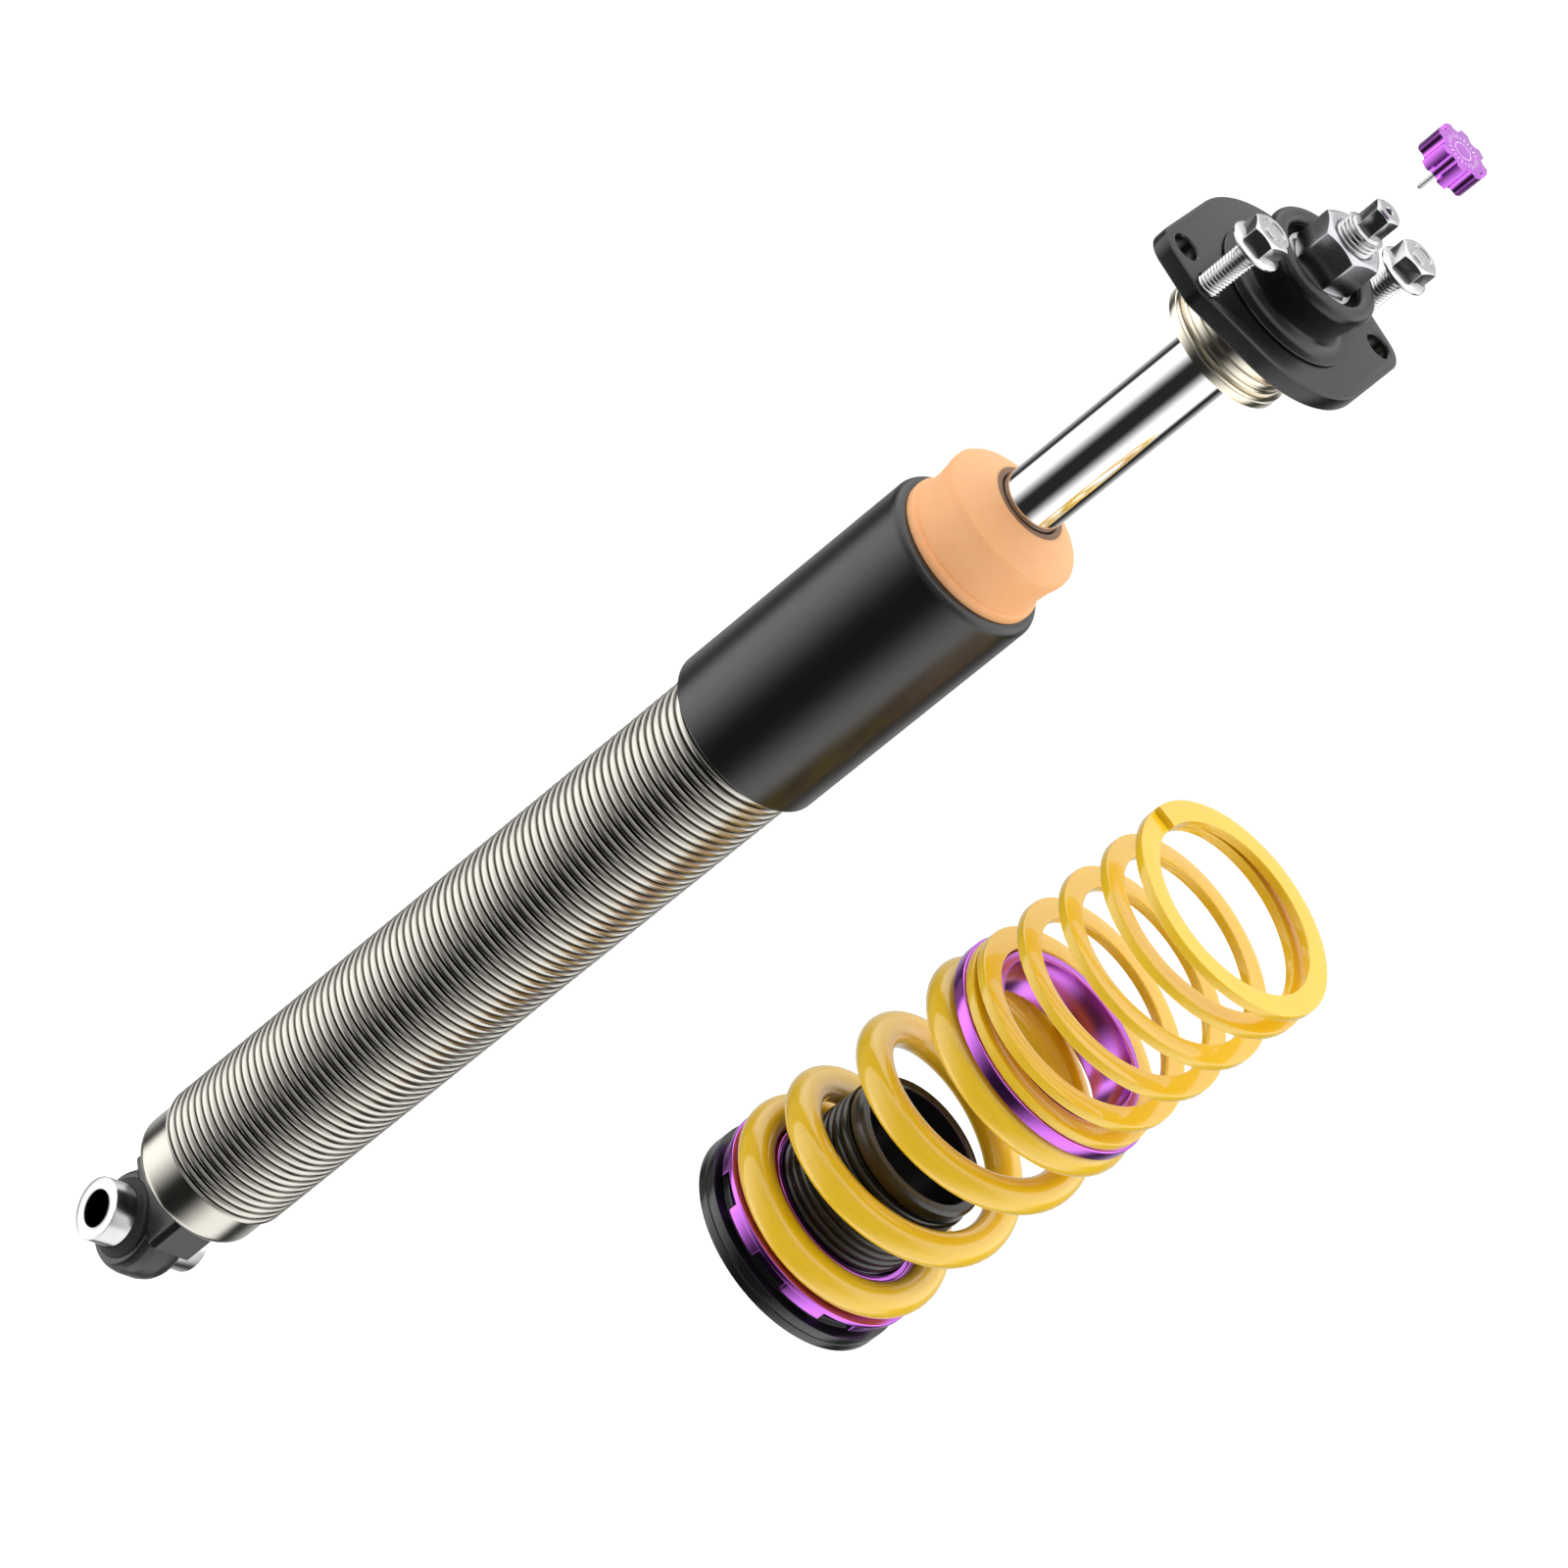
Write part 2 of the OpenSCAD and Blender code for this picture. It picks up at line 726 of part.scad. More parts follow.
module adjuster_needle() {
    color("Silver") difference() {
        union() {
            translate([0, 0, needle_z])
                cylinder(h = stem_z - needle_z, r = needle_r - needle_clear);
            translate([0, 0, stem_z - eps])
                cylinder(h = stem_top - stem_z + eps, r = tip_bore_r - run);
        }
        translate([0, 0, stem_top - 5]) cylinder(h = 6, r = pin_r + run);
    }
}

module rebound_knob() {
    flute_r = knob_r * 0.24;
    color("MediumOrchid") difference() {
        translate([0, 0, knob_z]) cylinder(h = knob_h, r = knob_r);
        for (k = [0 : lobes - 1])
            rotate([0, 0, knob_turn + (k + 0.5) * 360 / lobes])
                translate([knob_r + flute_r * 0.35, 0, knob_z - 1])
                    cylinder(h = knob_h + 2, r = flute_r, $fn = 48);
        translate([0, 0, knob_z - 1]) cylinder(h = knob_h * 0.6 + 1, r = pin_r);
    }
}

module knob_pin() {
    color("Silver") translate([0, 0, pin_z]) cylinder(h = knob_z + knob_h * 0.6 - pin_z, r = pin_r);
}

// ---- spring unit ----

module spring_seat() {
    color("DarkOrchid") on_unit() difference() {
        union() {
            translate([0, 0, seat_z]) cylinder(h = seat_t, r = base_r);
            translate([0, 0, seat_z]) cylinder(h = seat_t + seat_neck, r = guide_neck_r);
        }
        translate([0, 0, seat_z - 1]) cylinder(h = seat_t + seat_neck + 2, r = thread_in);
    }
}

module adjuster_collar() {
    // The slots are boxes about as wide as slot_deg at the rim
    slot_w = 2 * collar_r * sin(slot_deg / 2);
    color("DarkOrchid") on_unit() difference() {
        ring(collar_z, collar_t, collar_r, thread_in);
        for (k = [0 : slots - 1])
            rotate([0, 0, k * 360 / slots])
                translate([collar_r - slot_depth, -slot_w / 2, collar_z - 1])
                    cube([slot_depth + 5, slot_w, collar_t + 2]);
    }
}

module main_spring() {
    wire_r = wire_d / 2;
    sides = 10;
    section = [for (k = [0 : sides - 1])
        [wire_r * cos(k * 360 / sides), wire_r * sin(k * 360 / sides)]];
    color("Gold") on_unit() coil(section, spring_in + wire_r, spring_z + wire_r,
        spring_len - wire_d, 0.163, 2.874, 0.21, 0.64, 28);
}

module spring_plate() {
    color("DarkOrchid") on_unit() difference() {
        union() {
            ring(spring_plate_z, spring_plate_t, base_r - 0.5, plate_in);
            ring(spring_plate_z - plate_neck_low, plate_neck_low + eps, guide_neck_r, plate_in);
            ring(helper_z - eps, plate_neck_high + eps, helper_in - 0.3, plate_in);
        }
    }
}

module helper_spring() {
    half_w = helper_w / 2;
    half_t = helper_t / 2;
    section = [[-half_w, -half_t], [half_w, -half_t], [half_w, half_t], [-half_w, half_t]];
    color("Yellow") on_unit() coil(section, helper_in + half_w, helper_z + half_t,
        helper_len - helper_t, 0.586, 4.744, 0.49, 1, 30);
}

eye_sleeve();
adjuster_sleeve();
base_ring();
lower_eye();
eye_bush();
eye_seals();
body_tube();
base_dish();
base_valve();
pressure_tube();
rod_guide();
guide_bush();
rod_seal();
gland_nut();
rod_wiper();
piston_rod();
piston();
piston_band();
rebound_shims();
compression_shims();
piston_nut();
rebound_stop();
support_cup();
support_ring();
ball_spacer();
bearing_ball();
top_washer();
top_nut();
cover_tube();
bump_stop();
bump_bush();
mount_plate();
bearing_dome();
bearing_race();
race_circlip();
front_mount_bolt();
rear_mount_bolt();
adjuster_needle();
rebound_knob();
knob_pin();
spring_seat();
adjuster_collar();
main_spring();
spring_plate();
helper_spring();
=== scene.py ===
from math import atan2, ceil, cos, degrees, pi, radians, sin, sqrt

import bpy
from mathutils import Euler, Matrix, Vector


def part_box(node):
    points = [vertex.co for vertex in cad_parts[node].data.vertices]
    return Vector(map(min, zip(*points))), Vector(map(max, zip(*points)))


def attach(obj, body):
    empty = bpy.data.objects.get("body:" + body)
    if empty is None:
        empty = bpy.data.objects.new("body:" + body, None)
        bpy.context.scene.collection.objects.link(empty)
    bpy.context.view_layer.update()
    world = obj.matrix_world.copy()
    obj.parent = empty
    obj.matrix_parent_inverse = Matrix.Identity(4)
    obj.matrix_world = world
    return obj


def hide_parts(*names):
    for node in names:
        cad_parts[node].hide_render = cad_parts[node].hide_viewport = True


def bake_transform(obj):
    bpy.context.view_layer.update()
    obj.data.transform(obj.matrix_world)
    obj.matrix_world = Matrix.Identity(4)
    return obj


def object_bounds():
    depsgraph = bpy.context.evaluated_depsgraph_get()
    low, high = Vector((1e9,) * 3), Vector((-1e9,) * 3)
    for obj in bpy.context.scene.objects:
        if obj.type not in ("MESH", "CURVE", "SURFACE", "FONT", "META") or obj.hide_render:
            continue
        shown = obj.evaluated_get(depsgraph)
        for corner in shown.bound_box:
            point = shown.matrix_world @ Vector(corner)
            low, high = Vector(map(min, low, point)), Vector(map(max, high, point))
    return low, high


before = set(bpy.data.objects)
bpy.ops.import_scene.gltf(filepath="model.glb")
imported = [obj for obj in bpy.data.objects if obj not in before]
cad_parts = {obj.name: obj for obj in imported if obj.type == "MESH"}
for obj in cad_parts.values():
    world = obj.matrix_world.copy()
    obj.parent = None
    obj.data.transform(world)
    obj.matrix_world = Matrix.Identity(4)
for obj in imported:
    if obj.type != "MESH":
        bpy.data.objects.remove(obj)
cad_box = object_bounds()

# ---- Camera ----
# A long lens from the front right and above, turned in its mount so that the damper
# climbs from the lower left of the picture to the upper right.
camera_bearing = radians(-46.04)
camera_rise = radians(30.89)
camera_turn = radians(51.2)
aim = Vector((0.0142, 0.0137, 0.3063))
to_camera = Vector((
    cos(camera_rise) * cos(camera_bearing), cos(camera_rise) * sin(camera_bearing), sin(camera_rise)
))
upright = Euler((pi / 2 - camera_rise, 0, camera_bearing + pi / 2)).to_matrix()
bpy.ops.object.select_all(action="DESELECT")
bpy.ops.object.camera_add()
camera = bpy.context.object
camera.data.lens = 155.25
camera.matrix_world = Matrix.Translation(aim + 2.136 * to_camera) @ (
    upright @ Matrix.Rotation(camera_turn, 3, "Z")
).to_4x4()
bpy.context.scene.camera = camera


# Seen directly, the walls are one plain pale grey.
class Signal:
    """A value that runs through shader nodes, and that arithmetic can be written on."""

    def __init__(self, shader, socket):
        self.shader = shader
        self.socket = socket

    def __add__(self, other):
        return self.shader.math("ADD", self, other)

    def __sub__(self, other):
        return self.shader.math("SUBTRACT", self, other)

    def __rsub__(self, other):
        return self.shader.math("SUBTRACT", other, self)

    def __mul__(self, other):
        return self.shader.math("MULTIPLY", self, other)

    __radd__ = __add__
    __rmul__ = __mul__


class Shader:
    def __init__(self, owner):
        owner.use_nodes = True
        self.owner = owner
        self.tree = owner.node_tree
        self.tree.nodes.clear()

    def node(self, kind, settings, inputs, out=0):
        """Adds one node, sets it, then gives each input its value or its link."""
        made = self.tree.nodes.new("ShaderNode" + kind)
        for key, value in settings.items():
            setattr(made, key, value)
        for key, value in inputs.items():
            if isinstance(value, Signal):
                self.tree.links.new(value.socket, made.inputs[key])
            else:
                made.inputs[key].default_value = value
        return Signal(self, made.outputs[out]) if made.outputs else None

    def math(self, operation, *values):
        """Adds one Math node."""
        return self.node("Math", {"operation": operation}, dict(enumerate(values)))

    def ramp(self, value, low, high):
        """0 below low, 1 above high, smooth between; low may be the greater of the two."""
        return self.node(
            "MapRange", {"interpolation_type": "SMOOTHSTEP"},
            {"Value": value, "From Min": low, "From Max": high},
        )

    def mix(self, factor, first, second):
        """A colour between two, each four numbers or a signal."""
        return self.node("Mix", {"data_type": "RGBA"}, {0: factor, 6: first, 7: second}, 2)


bpy.context.scene.view_settings.view_transform = "Standard"

room = Shader(bpy.data.worlds.new("studio"))
bpy.context.scene.world = room.owner
direction = room.node("TexCoord", {}, {}, "Generated")
east = room.node("SeparateXYZ", {}, {0: direction}, "X")
north = room.node("SeparateXYZ", {}, {0: direction}, "Y")
up = room.node("SeparateXYZ", {}, {0: direction}, "Z")
ahead = east * cos(camera_bearing) + north * sin(camera_bearing)
aside = north * cos(camera_bearing) - east * sin(camera_bearing)
around = room.math("ARCTAN2", aside, ahead)
away = room.math("ABSOLUTE", around)
right_wall = room.ramp(around, radians(15), radians(68))
right_wall = right_wall * room.ramp(around, radians(112), radians(92))
left_wall = room.ramp(around, radians(-15), radians(-78))
left_wall = left_wall * room.ramp(around, radians(-116), radians(-97))
back_wall = room.ramp(away, radians(118), radians(158))
walls = 0.03 + right_wall * 2.0 + left_wall * 2.4 + back_wall * 0.7
shaded_front = room.ramp(away, radians(95), radians(40)) * room.ramp(up, 0.97, 0.80)
dimmed_back = room.ramp(away, radians(130), radians(170)) * room.ramp(up, 0.75, 0.5)
ceiling = 2.3 - shaded_front * 1.9 - dimmed_back * 1.1
glow = walls + room.ramp(up, 0.0, 0.25) * (ceiling - walls)
seen = room.node("LightPath", {}, {}, "Is Camera Ray")
pale_grey = 0.95
sky = room.node("Background", {}, {"Strength": glow + seen * (pale_grey - glow)})
room.node("OutputWorld", {}, {"Surface": sky})

floor_drop = 0.33
bpy.ops.mesh.primitive_plane_add(size=9, location=(0, 0, cad_box[0][2] - floor_drop))
floor = bpy.context.object
floor.name = "studio_floor"
bpy.ops.object.transform_apply(location=True, rotation=True, scale=True)
floor.visible_glossy = False
matt = Shader(bpy.data.materials.new("studio_white"))
grain = matt.node("TexNoise", {}, {"Vector": matt.node("TexCoord", {}, {}, "Object"), "Scale": 6.0})
matt.node("OutputMaterial", {}, {"Surface": matt.node("BsdfPrincipled", {}, {
    "Base Color": matt.mix(grain, (0.84, 0.84, 0.84, 1), (0.86, 0.86, 0.86, 1)), "Roughness": 0.9,
    "Specular IOR Level": 0.0, "Emission Color": (1.0, 1.0, 1.0, 1), "Emission Strength": 0.12,
})})
floor.data.materials.append(matt.owner)


# ---- Lower eye sleeve ----
# The steel spacer that the lower bolt clamps. It is turned from tube, with its ends
# chamfered, and plated in bright zinc.
mm = 0.001


def chain(name, outline):
    """A row of edges through (radius, height) points, in the plane y = 0."""
    bpy.ops.object.select_all(action="DESELECT")
    bpy.ops.mesh.primitive_plane_add(size=mm, location=(outline[0][0], 0, outline[0][1]))
    bpy.ops.object.transform_apply(location=True, rotation=True, scale=True)
    piece = bpy.context.object
    piece.name = name
    bpy.ops.object.mode_set(mode="EDIT")
    bpy.ops.mesh.select_mode(type="VERT")
    bpy.ops.mesh.select_all(action="SELECT")
    bpy.ops.mesh.merge(type="CENTER")
    for (r0, z0), (r1, z1) in zip(outline, outline[1:]):
        bpy.ops.mesh.extrude_region_move(TRANSFORM_OT_translate={"value": (r1 - r0, 0, z1 - z0)})
    bpy.ops.object.mode_set(mode="OBJECT")
    return piece


def seal_shell():
    """Merges a shell's doubled points and turns its faces outwards, in edit mode."""
    bpy.ops.mesh.select_all(action="SELECT")
    bpy.ops.mesh.remove_doubles(threshold=0.002 * mm)
    bpy.ops.mesh.normals_make_consistent(inside=False)


def turned(name, outline, steps=96):
    """A piece turned on a lathe. An outline that doesn't end on the axis is closed."""
    if outline[0][0] > 0 or outline[-1][0] > 0:
        outline = outline + outline[:1]
    piece = chain(name, outline)
    bpy.ops.object.mode_set(mode="EDIT")
    bpy.ops.mesh.select_all(action="SELECT")
    bpy.ops.mesh.spin(steps=steps, angle=2 * pi, center=(0, 0, 0), axis=(0, 0, 1))
    seal_shell()
    bpy.ops.object.mode_set(mode="OBJECT")
    return piece


def pick(*pieces):
    """Leaves only these pieces selected, the first of them active."""
    bpy.ops.object.select_all(action="DESELECT")
    for piece in pieces:
        piece.select_set(True)
    bpy.context.view_layer.objects.active = pieces[0]


def change(piece, kind, **settings):
    """Adds a modifier to a piece and applies it."""
    pick(piece)
    modifier = piece.modifiers.new(kind.lower(), kind)
    for key, value in settings.items():
        setattr(modifier, key, value)
    bpy.ops.object.modifier_apply(modifier=modifier.name)


def soften(piece, width, segments=3, angle=28):
    """Rounds a piece's sharp edges and shades the rest smooth."""
    change(
        piece, "BEVEL", width=width, segments=segments, limit_method="ANGLE",
        angle_limit=radians(angle), miter_outer="MITER_ARC",
    )
    smooth(piece)


def smooth(piece, angle=35):
    """Shades a piece smooth, apart from edges sharper than the angle."""
    pick(piece)
    bpy.ops.object.shade_smooth_by_angle(angle=radians(angle))


def settle(piece, at=(0, 0, 0), turn=(0, 0, 0)):
    """Moves and turns a piece into its place, and keeps the place in its mesh."""
    pick(piece)
    piece.location = at
    piece.rotation_euler = turn
    bpy.ops.object.transform_apply(location=True, rotation=True, scale=True)


def joined(name, *pieces):
    """One piece of several shells."""
    pick(*pieces)
    bpy.ops.object.join()
    pieces[0].name = name
    return pieces[0]


def fit(piece, body, nodes, material):
    """Gives a finished piece its material and body, and hides the CAD nodes it stands for."""
    piece.data.materials.clear()
    piece.data.materials.append(material)
    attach(piece, body)
    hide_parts(*nodes)


def coat(node, material):
    """Gives a CAD node that is shown as it is its material."""
    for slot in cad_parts[node].material_slots:
        slot.material = material


def extent(node):
    """A node's middle, lowest height, highest height and radius along X."""
    low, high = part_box(node)
    middle = (low[0] + high[0]) / 2, (low[1] + high[1]) / 2
    return middle, low[2], high[2], (high[0] - low[0]) / 2


class Finish(Shader):
    """A material with patterns that are laid in the piece's own coordinates."""

    def __init__(self, name, centre=(0, 0)):
        super().__init__(bpy.data.materials.new(name))
        self.here = self.node(
            "Mapping", {}, {
                "Vector": self.node("TexCoord", {}, {}, "Object"),
                "Location": (-centre[0], -centre[1], 0),
            },
        )

    def radius(self, along="Z"):
        """The distance from the piece's own axis, and the place along it."""
        x, y, z = (self.node("SeparateXYZ", {}, {0: self.here}, axis) for axis in "XYZ")
        side, place = (x, y) if along == "Z" else (x, z), z if along == "Z" else y
        return self.math("SQRT", side[0] * side[0] + side[1] * side[1]), place

    def noise(self, size, detail=2.0, where=None):
        """Random mottling whose patches are about size across."""
        return self.node("TexNoise", {}, {
            "Vector": where or self.here, "Scale": 1 / size, "Detail": detail,
        })

    def rings(self, size, along="Z"):
        """The fine marks that a lathe leaves: the same all the way round the axis."""
        radius, place = self.radius(along)
        return self.noise(size, 3.0, self.node("CombineXYZ", {}, {"X": radius, "Y": place}))

    def bump(self, height, depth):
        """A relief that is depth high where height is 1."""
        return self.node("Bump", {}, {"Height": height, "Distance": depth, "Strength": 1.0})

    def surface(self, **sockets):
        """Closes the material. Socket names are written with _ for the spaces."""
        named = {key.replace("_", " "): value for key, value in sockets.items()}
        shown = self.node("BsdfPrincipled", {}, named)
        self.node("OutputMaterial", {}, {"Surface": shown})
        return self.owner


def zinc_plate(name, along="Z", bore=0.0):
    """Bright zinc: a cool silver with a faint bloom, over turned steel. Inside a bore
    of the given radius the base colour is darkened, as painted shade."""
    plate = Finish(name)
    bloom = plate.noise(9 * mm, 4.0)
    marks = plate.rings(0.25 * mm, along)
    silver = plate.mix(bloom, (0.47, 0.48, 0.495, 1), (0.64, 0.64, 0.635, 1))
    if bore:
        # Painted shade: the inside of the bore is darkened in the base colour.
        inside = plate.ramp(plate.radius(along)[0], bore + 0.5 * mm, bore + 0.1 * mm)
        silver = plate.mix(inside, silver, (0.05, 0.05, 0.05, 1))
    return plate.surface(
        Base_Color=silver,
        Metallic=1.0,
        Roughness=0.13 + bloom * 0.10 + marks * 0.06,
        Normal=plate.bump(marks, 0.008 * mm),
    )


eye_low, eye_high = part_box("eye_sleeve")
sleeve_half = (eye_high[1] - eye_low[1]) / 2
sleeve_r = (eye_high[0] - eye_low[0]) / 2
sleeve_bore = 6.5 * mm
spacer = turned("lower_eye_spacer", [
    (sleeve_bore, -sleeve_half), (sleeve_r, -sleeve_half),
    (sleeve_r, sleeve_half), (sleeve_bore, sleeve_half),
])
soften(spacer, 0.6 * mm, 2)
settle(spacer, turn=(pi / 2, 0, 0))
# The spacer's bore is painted dark, as painted shade.
spacer_zinc = zinc_plate("zinc_eye_spacer", "Y", sleeve_bore)
fit(spacer, "arm_side", ["eye_sleeve"], spacer_zinc)


# ---- Eye bush and seals ----
# A rubber bush is bonded into the eye, and a soft rubber seal sits in the pocket on
# each side of it, its lip running on the spacer.
rubber = Finish("seal_rubber")
rubber_grain = rubber.noise(0.35 * mm, 5.0)
seal_rubber = rubber.surface(
    Base_Color=rubber.mix(rubber.noise(6 * mm), (0.012, 0.012, 0.013, 1), (0.03, 0.029, 0.028, 1)),
    Roughness=0.5 + rubber_grain * 0.2,
    Normal=rubber.bump(rubber_grain, 0.02 * mm),
)
coat("eye_bush", seal_rubber)

seal_low, seal_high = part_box("eye_seals")
seal_out = seal_high[1]
seal_in = 6.5 * mm
seal_r = (seal_high[0] - seal_low[0]) / 2
lip_r = sleeve_r + 0.8 * mm
seal_edge = 8.9 * mm
seal = turned("eye_seal_front", [
    (sleeve_r + 0.05 * mm, seal_in), (seal_r, seal_in), (seal_r, seal_edge),
    (seal_r - 0.5 * mm, seal_edge + 0.9 * mm), (seal_r - 1.2 * mm, seal_edge + 1.1 * mm),
    (lip_r + 0.35 * mm, seal_out - 0.7 * mm), (lip_r, seal_out), (sleeve_r + 0.05 * mm, seal_out),
])
soften(seal, 0.25 * mm, 3)
pick(seal)
bpy.ops.object.duplicate()
other_seal = bpy.context.object
other_seal.name = "eye_seal_rear"
settle(seal, turn=(pi / 2, 0, 0))
settle(other_seal, turn=(-pi / 2, 0, 0))
for piece in (seal, other_seal):
    fit(piece, "damper", ["eye_seals"], seal_rubber)


# ---- Lower eye ----
# One steel forging: a barrel round the bush, a squared neck, and a round boss that
# is welded into the body's foot. It is shot-blasted and coated black.
def block(name, half_x, half_y, low, high):
    """A box from its half widths and its two heights, left in object mode."""
    bpy.ops.object.select_all(action="DESELECT")
    bpy.ops.mesh.primitive_cube_add(size=1, location=(0, 0, (low + high) / 2))
    piece = bpy.context.object
    piece.name = name
    piece.scale = (2 * half_x, 2 * half_y, high - low)
    bpy.ops.object.transform_apply(location=True, rotation=True, scale=True)
    return piece


def cut(piece, cutter, operation="DIFFERENCE"):
    """Cuts a piece with another, which is used up."""
    change(piece, "BOOLEAN", object=cutter, operation=operation, solver="EXACT")
    pick(cutter)
    bpy.ops.object.delete()


forged = Finish("black_forging")
scale = forged.noise(1.1 * mm, 4.0)
black_forging = forged.surface(
    Base_Color=forged.mix(scale, (0.006, 0.006, 0.0065, 1), (0.016, 0.016, 0.017, 1)),
    Roughness=0.24 + forged.noise(14 * mm) * 0.14,
    Normal=forged.bump(scale, 0.06 * mm),
    Specular_IOR_Level=0.6,
)

eye_foot, boss_top = extent("lower_eye")[1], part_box("base_dish")[0][2]
body_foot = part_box("body_tube")[0][2]
barrel_r = -eye_foot
barrel_half = 8.5 * mm
belly = 2 * mm
barrel = turned("lower_eye_forging", [
    (0, -barrel_half), (barrel_r - belly, -barrel_half), (barrel_r - 0.55 * mm, -barrel_half * 0.72),
    (barrel_r + 0.1 * mm, -barrel_half * 0.36), (barrel_r + 0.1 * mm, barrel_half * 0.36),
    (barrel_r - 0.55 * mm, barrel_half * 0.72), (barrel_r - belly, barrel_half), (0, barrel_half),
])
settle(barrel, turn=(pi / 2, 0, 0))
neck_side, neck_half = 19.25 * mm, 9.2 * mm
neck = block("neck", neck_side, neck_half, 9 * mm, body_foot + 0.6 * mm)
change(neck, "BEVEL", width=2 * mm, segments=1, limit_method="ANGLE", angle_limit=radians(40))
boss_r = 20 * mm
boss = turned("boss", [
    (0, body_foot - 2.4 * mm), (boss_r - 3 * mm, body_foot - 2.4 * mm), (boss_r, body_foot + 0.6 * mm),
    (boss_r, boss_top), (0, boss_top),
])
eye = joined("lower_eye_forging", barrel, neck, boss)
change(eye, "REMESH", mode="VOXEL", voxel_size=0.55 * mm)
change(eye, "SMOOTH", factor=0.5, iterations=4)
bush_r = 13.25 * mm
past_eye = 20 * mm
bore = turned("bore", [
    (0, -past_eye), (seal_r, -past_eye), (seal_r, -seal_in), (bush_r, -seal_in),
    (bush_r, seal_in), (seal_r, seal_in), (seal_r, past_eye), (0, past_eye),
])
settle(bore, turn=(pi / 2, 0, 0))
cut(eye, bore)
smooth(eye, 40)
fit(eye, "damper", ["lower_eye"], black_forging)


# ---- Damper body ----
# A drawn steel tube, rolled in round the boss at its foot. A rounded right-hand
# thread is rolled along it for the height of the lower bracket, then it is nickelled.
def thread(name, low, high, pitch, crest, root, wall, steps=72, fullness=2.0):
    """A screw thread between two heights: one pitch of it, a rounded crest over a
    narrow root, is carried round and up, trimmed square, and closed by a wall inside.
    A fullness of 1 makes the crest a point, and more makes it broader."""
    start = low - 1.5 * pitch
    profile = []
    for step in range(13):
        side = step / 6 - 1
        swell = 1 - abs(side) ** fullness
        profile.append((root + (crest - root) * swell, start + pitch * (0.5 + 0.46 * side)))
    piece = chain(name, profile + [(root, start + 1.04 * pitch)])
    turns = ceil((high - low) / pitch) + 3
    change(
        piece, "SCREW", screw_offset=pitch, iterations=turns, steps=steps, render_steps=steps,
        use_merge_vertices=True, merge_threshold=0.002 * mm,
    )
    bpy.ops.object.mode_set(mode="EDIT")
    bpy.ops.mesh.select_mode(type="EDGE")
    seal_shell()
    bpy.ops.mesh.bisect(plane_co=(0, 0, low), plane_no=(0, 0, 1), clear_inner=True)
    bpy.ops.mesh.select_all(action="SELECT")
    bpy.ops.mesh.bisect(plane_co=(0, 0, high), plane_no=(0, 0, 1), clear_outer=True)
    bpy.ops.mesh.select_all(action="DESELECT")
    bpy.ops.mesh.select_non_manifold()
    bpy.ops.mesh.extrude_edges_move()
    shrink = wall / ((crest + root) / 2)
    bpy.ops.transform.resize(value=(shrink, shrink, 1), center_override=(0, 0, 0))
    bpy.ops.mesh.bridge_edge_loops()
    seal_shell()
    bpy.ops.object.mode_set(mode="OBJECT")
    return piece


def arc(centre_r, centre_z, radius, start, stop, steps):
    """Points of an arc in an outline, its angles in degrees from straight outwards."""
    return [
        (centre_r + radius * cos(radians(start + (stop - start) * k / steps)),
         centre_z + radius * sin(radians(start + (stop - start) * k / steps)))
        for k in range(steps + 1)
    ]


_, _, body_top, body_crest = extent("body_tube")
body_r = body_crest - 1.5 * mm
body_root = body_crest - 1.2 * mm
body_bore = 23 * mm
roll = 5 * mm
thread_foot = body_foot + 18.4 * mm
thread_head = body_top - 2 * mm
body_pitch = 3.5 * mm

nickel = Finish("satin_nickel")
drawn = nickel.rings(0.30 * mm)
cloud = nickel.noise(24 * mm, 3.0)
reach, place = nickel.radius()
in_thread = nickel.ramp(place, thread_foot - 0.5 * mm, thread_foot + 0.5 * mm)
# Painted shade: the thread's roots are darkened in the base colour, where the crests shade them.
thread_root_shade = nickel.ramp(reach, body_crest - 0.25 * mm, body_root + 0.15 * mm) * in_thread
polished = nickel.mix(cloud, (0.52, 0.50, 0.445, 1), (0.57, 0.55, 0.495, 1))
satin_nickel = nickel.surface(
    Base_Color=nickel.mix(thread_root_shade, polished, (0.07, 0.066, 0.058, 1)),
    Metallic=1.0,
    Roughness=0.15 + cloud * 0.05 + drawn * 0.05,
    Normal=nickel.bump(drawn, 0.006 * mm),
)

tube = turned("damper_body", (
    arc(body_r - roll, body_foot + roll, roll, -90, 0, 8)
    + [(body_r, thread_foot - 1.2 * mm), (body_root - 0.25 * mm, thread_foot - 0.2 * mm),
       (body_root - 0.25 * mm, body_top - 0.5 * mm), (body_root - 0.75 * mm, body_top),
       (body_bore, body_top)]
    + arc(body_r - roll, body_foot + roll, roll - 2 * mm, 0, -90, 8)
), 128)
body_thread = thread(
    "body_thread", thread_foot, thread_head, body_pitch, body_crest, body_root,
    body_bore + 0.8 * mm, steps=72, fullness=2.4
)
body = joined("damper_body", tube, body_thread)
smooth(body, 30)
fit(body, "damper", ["body_tube"], satin_nickel)


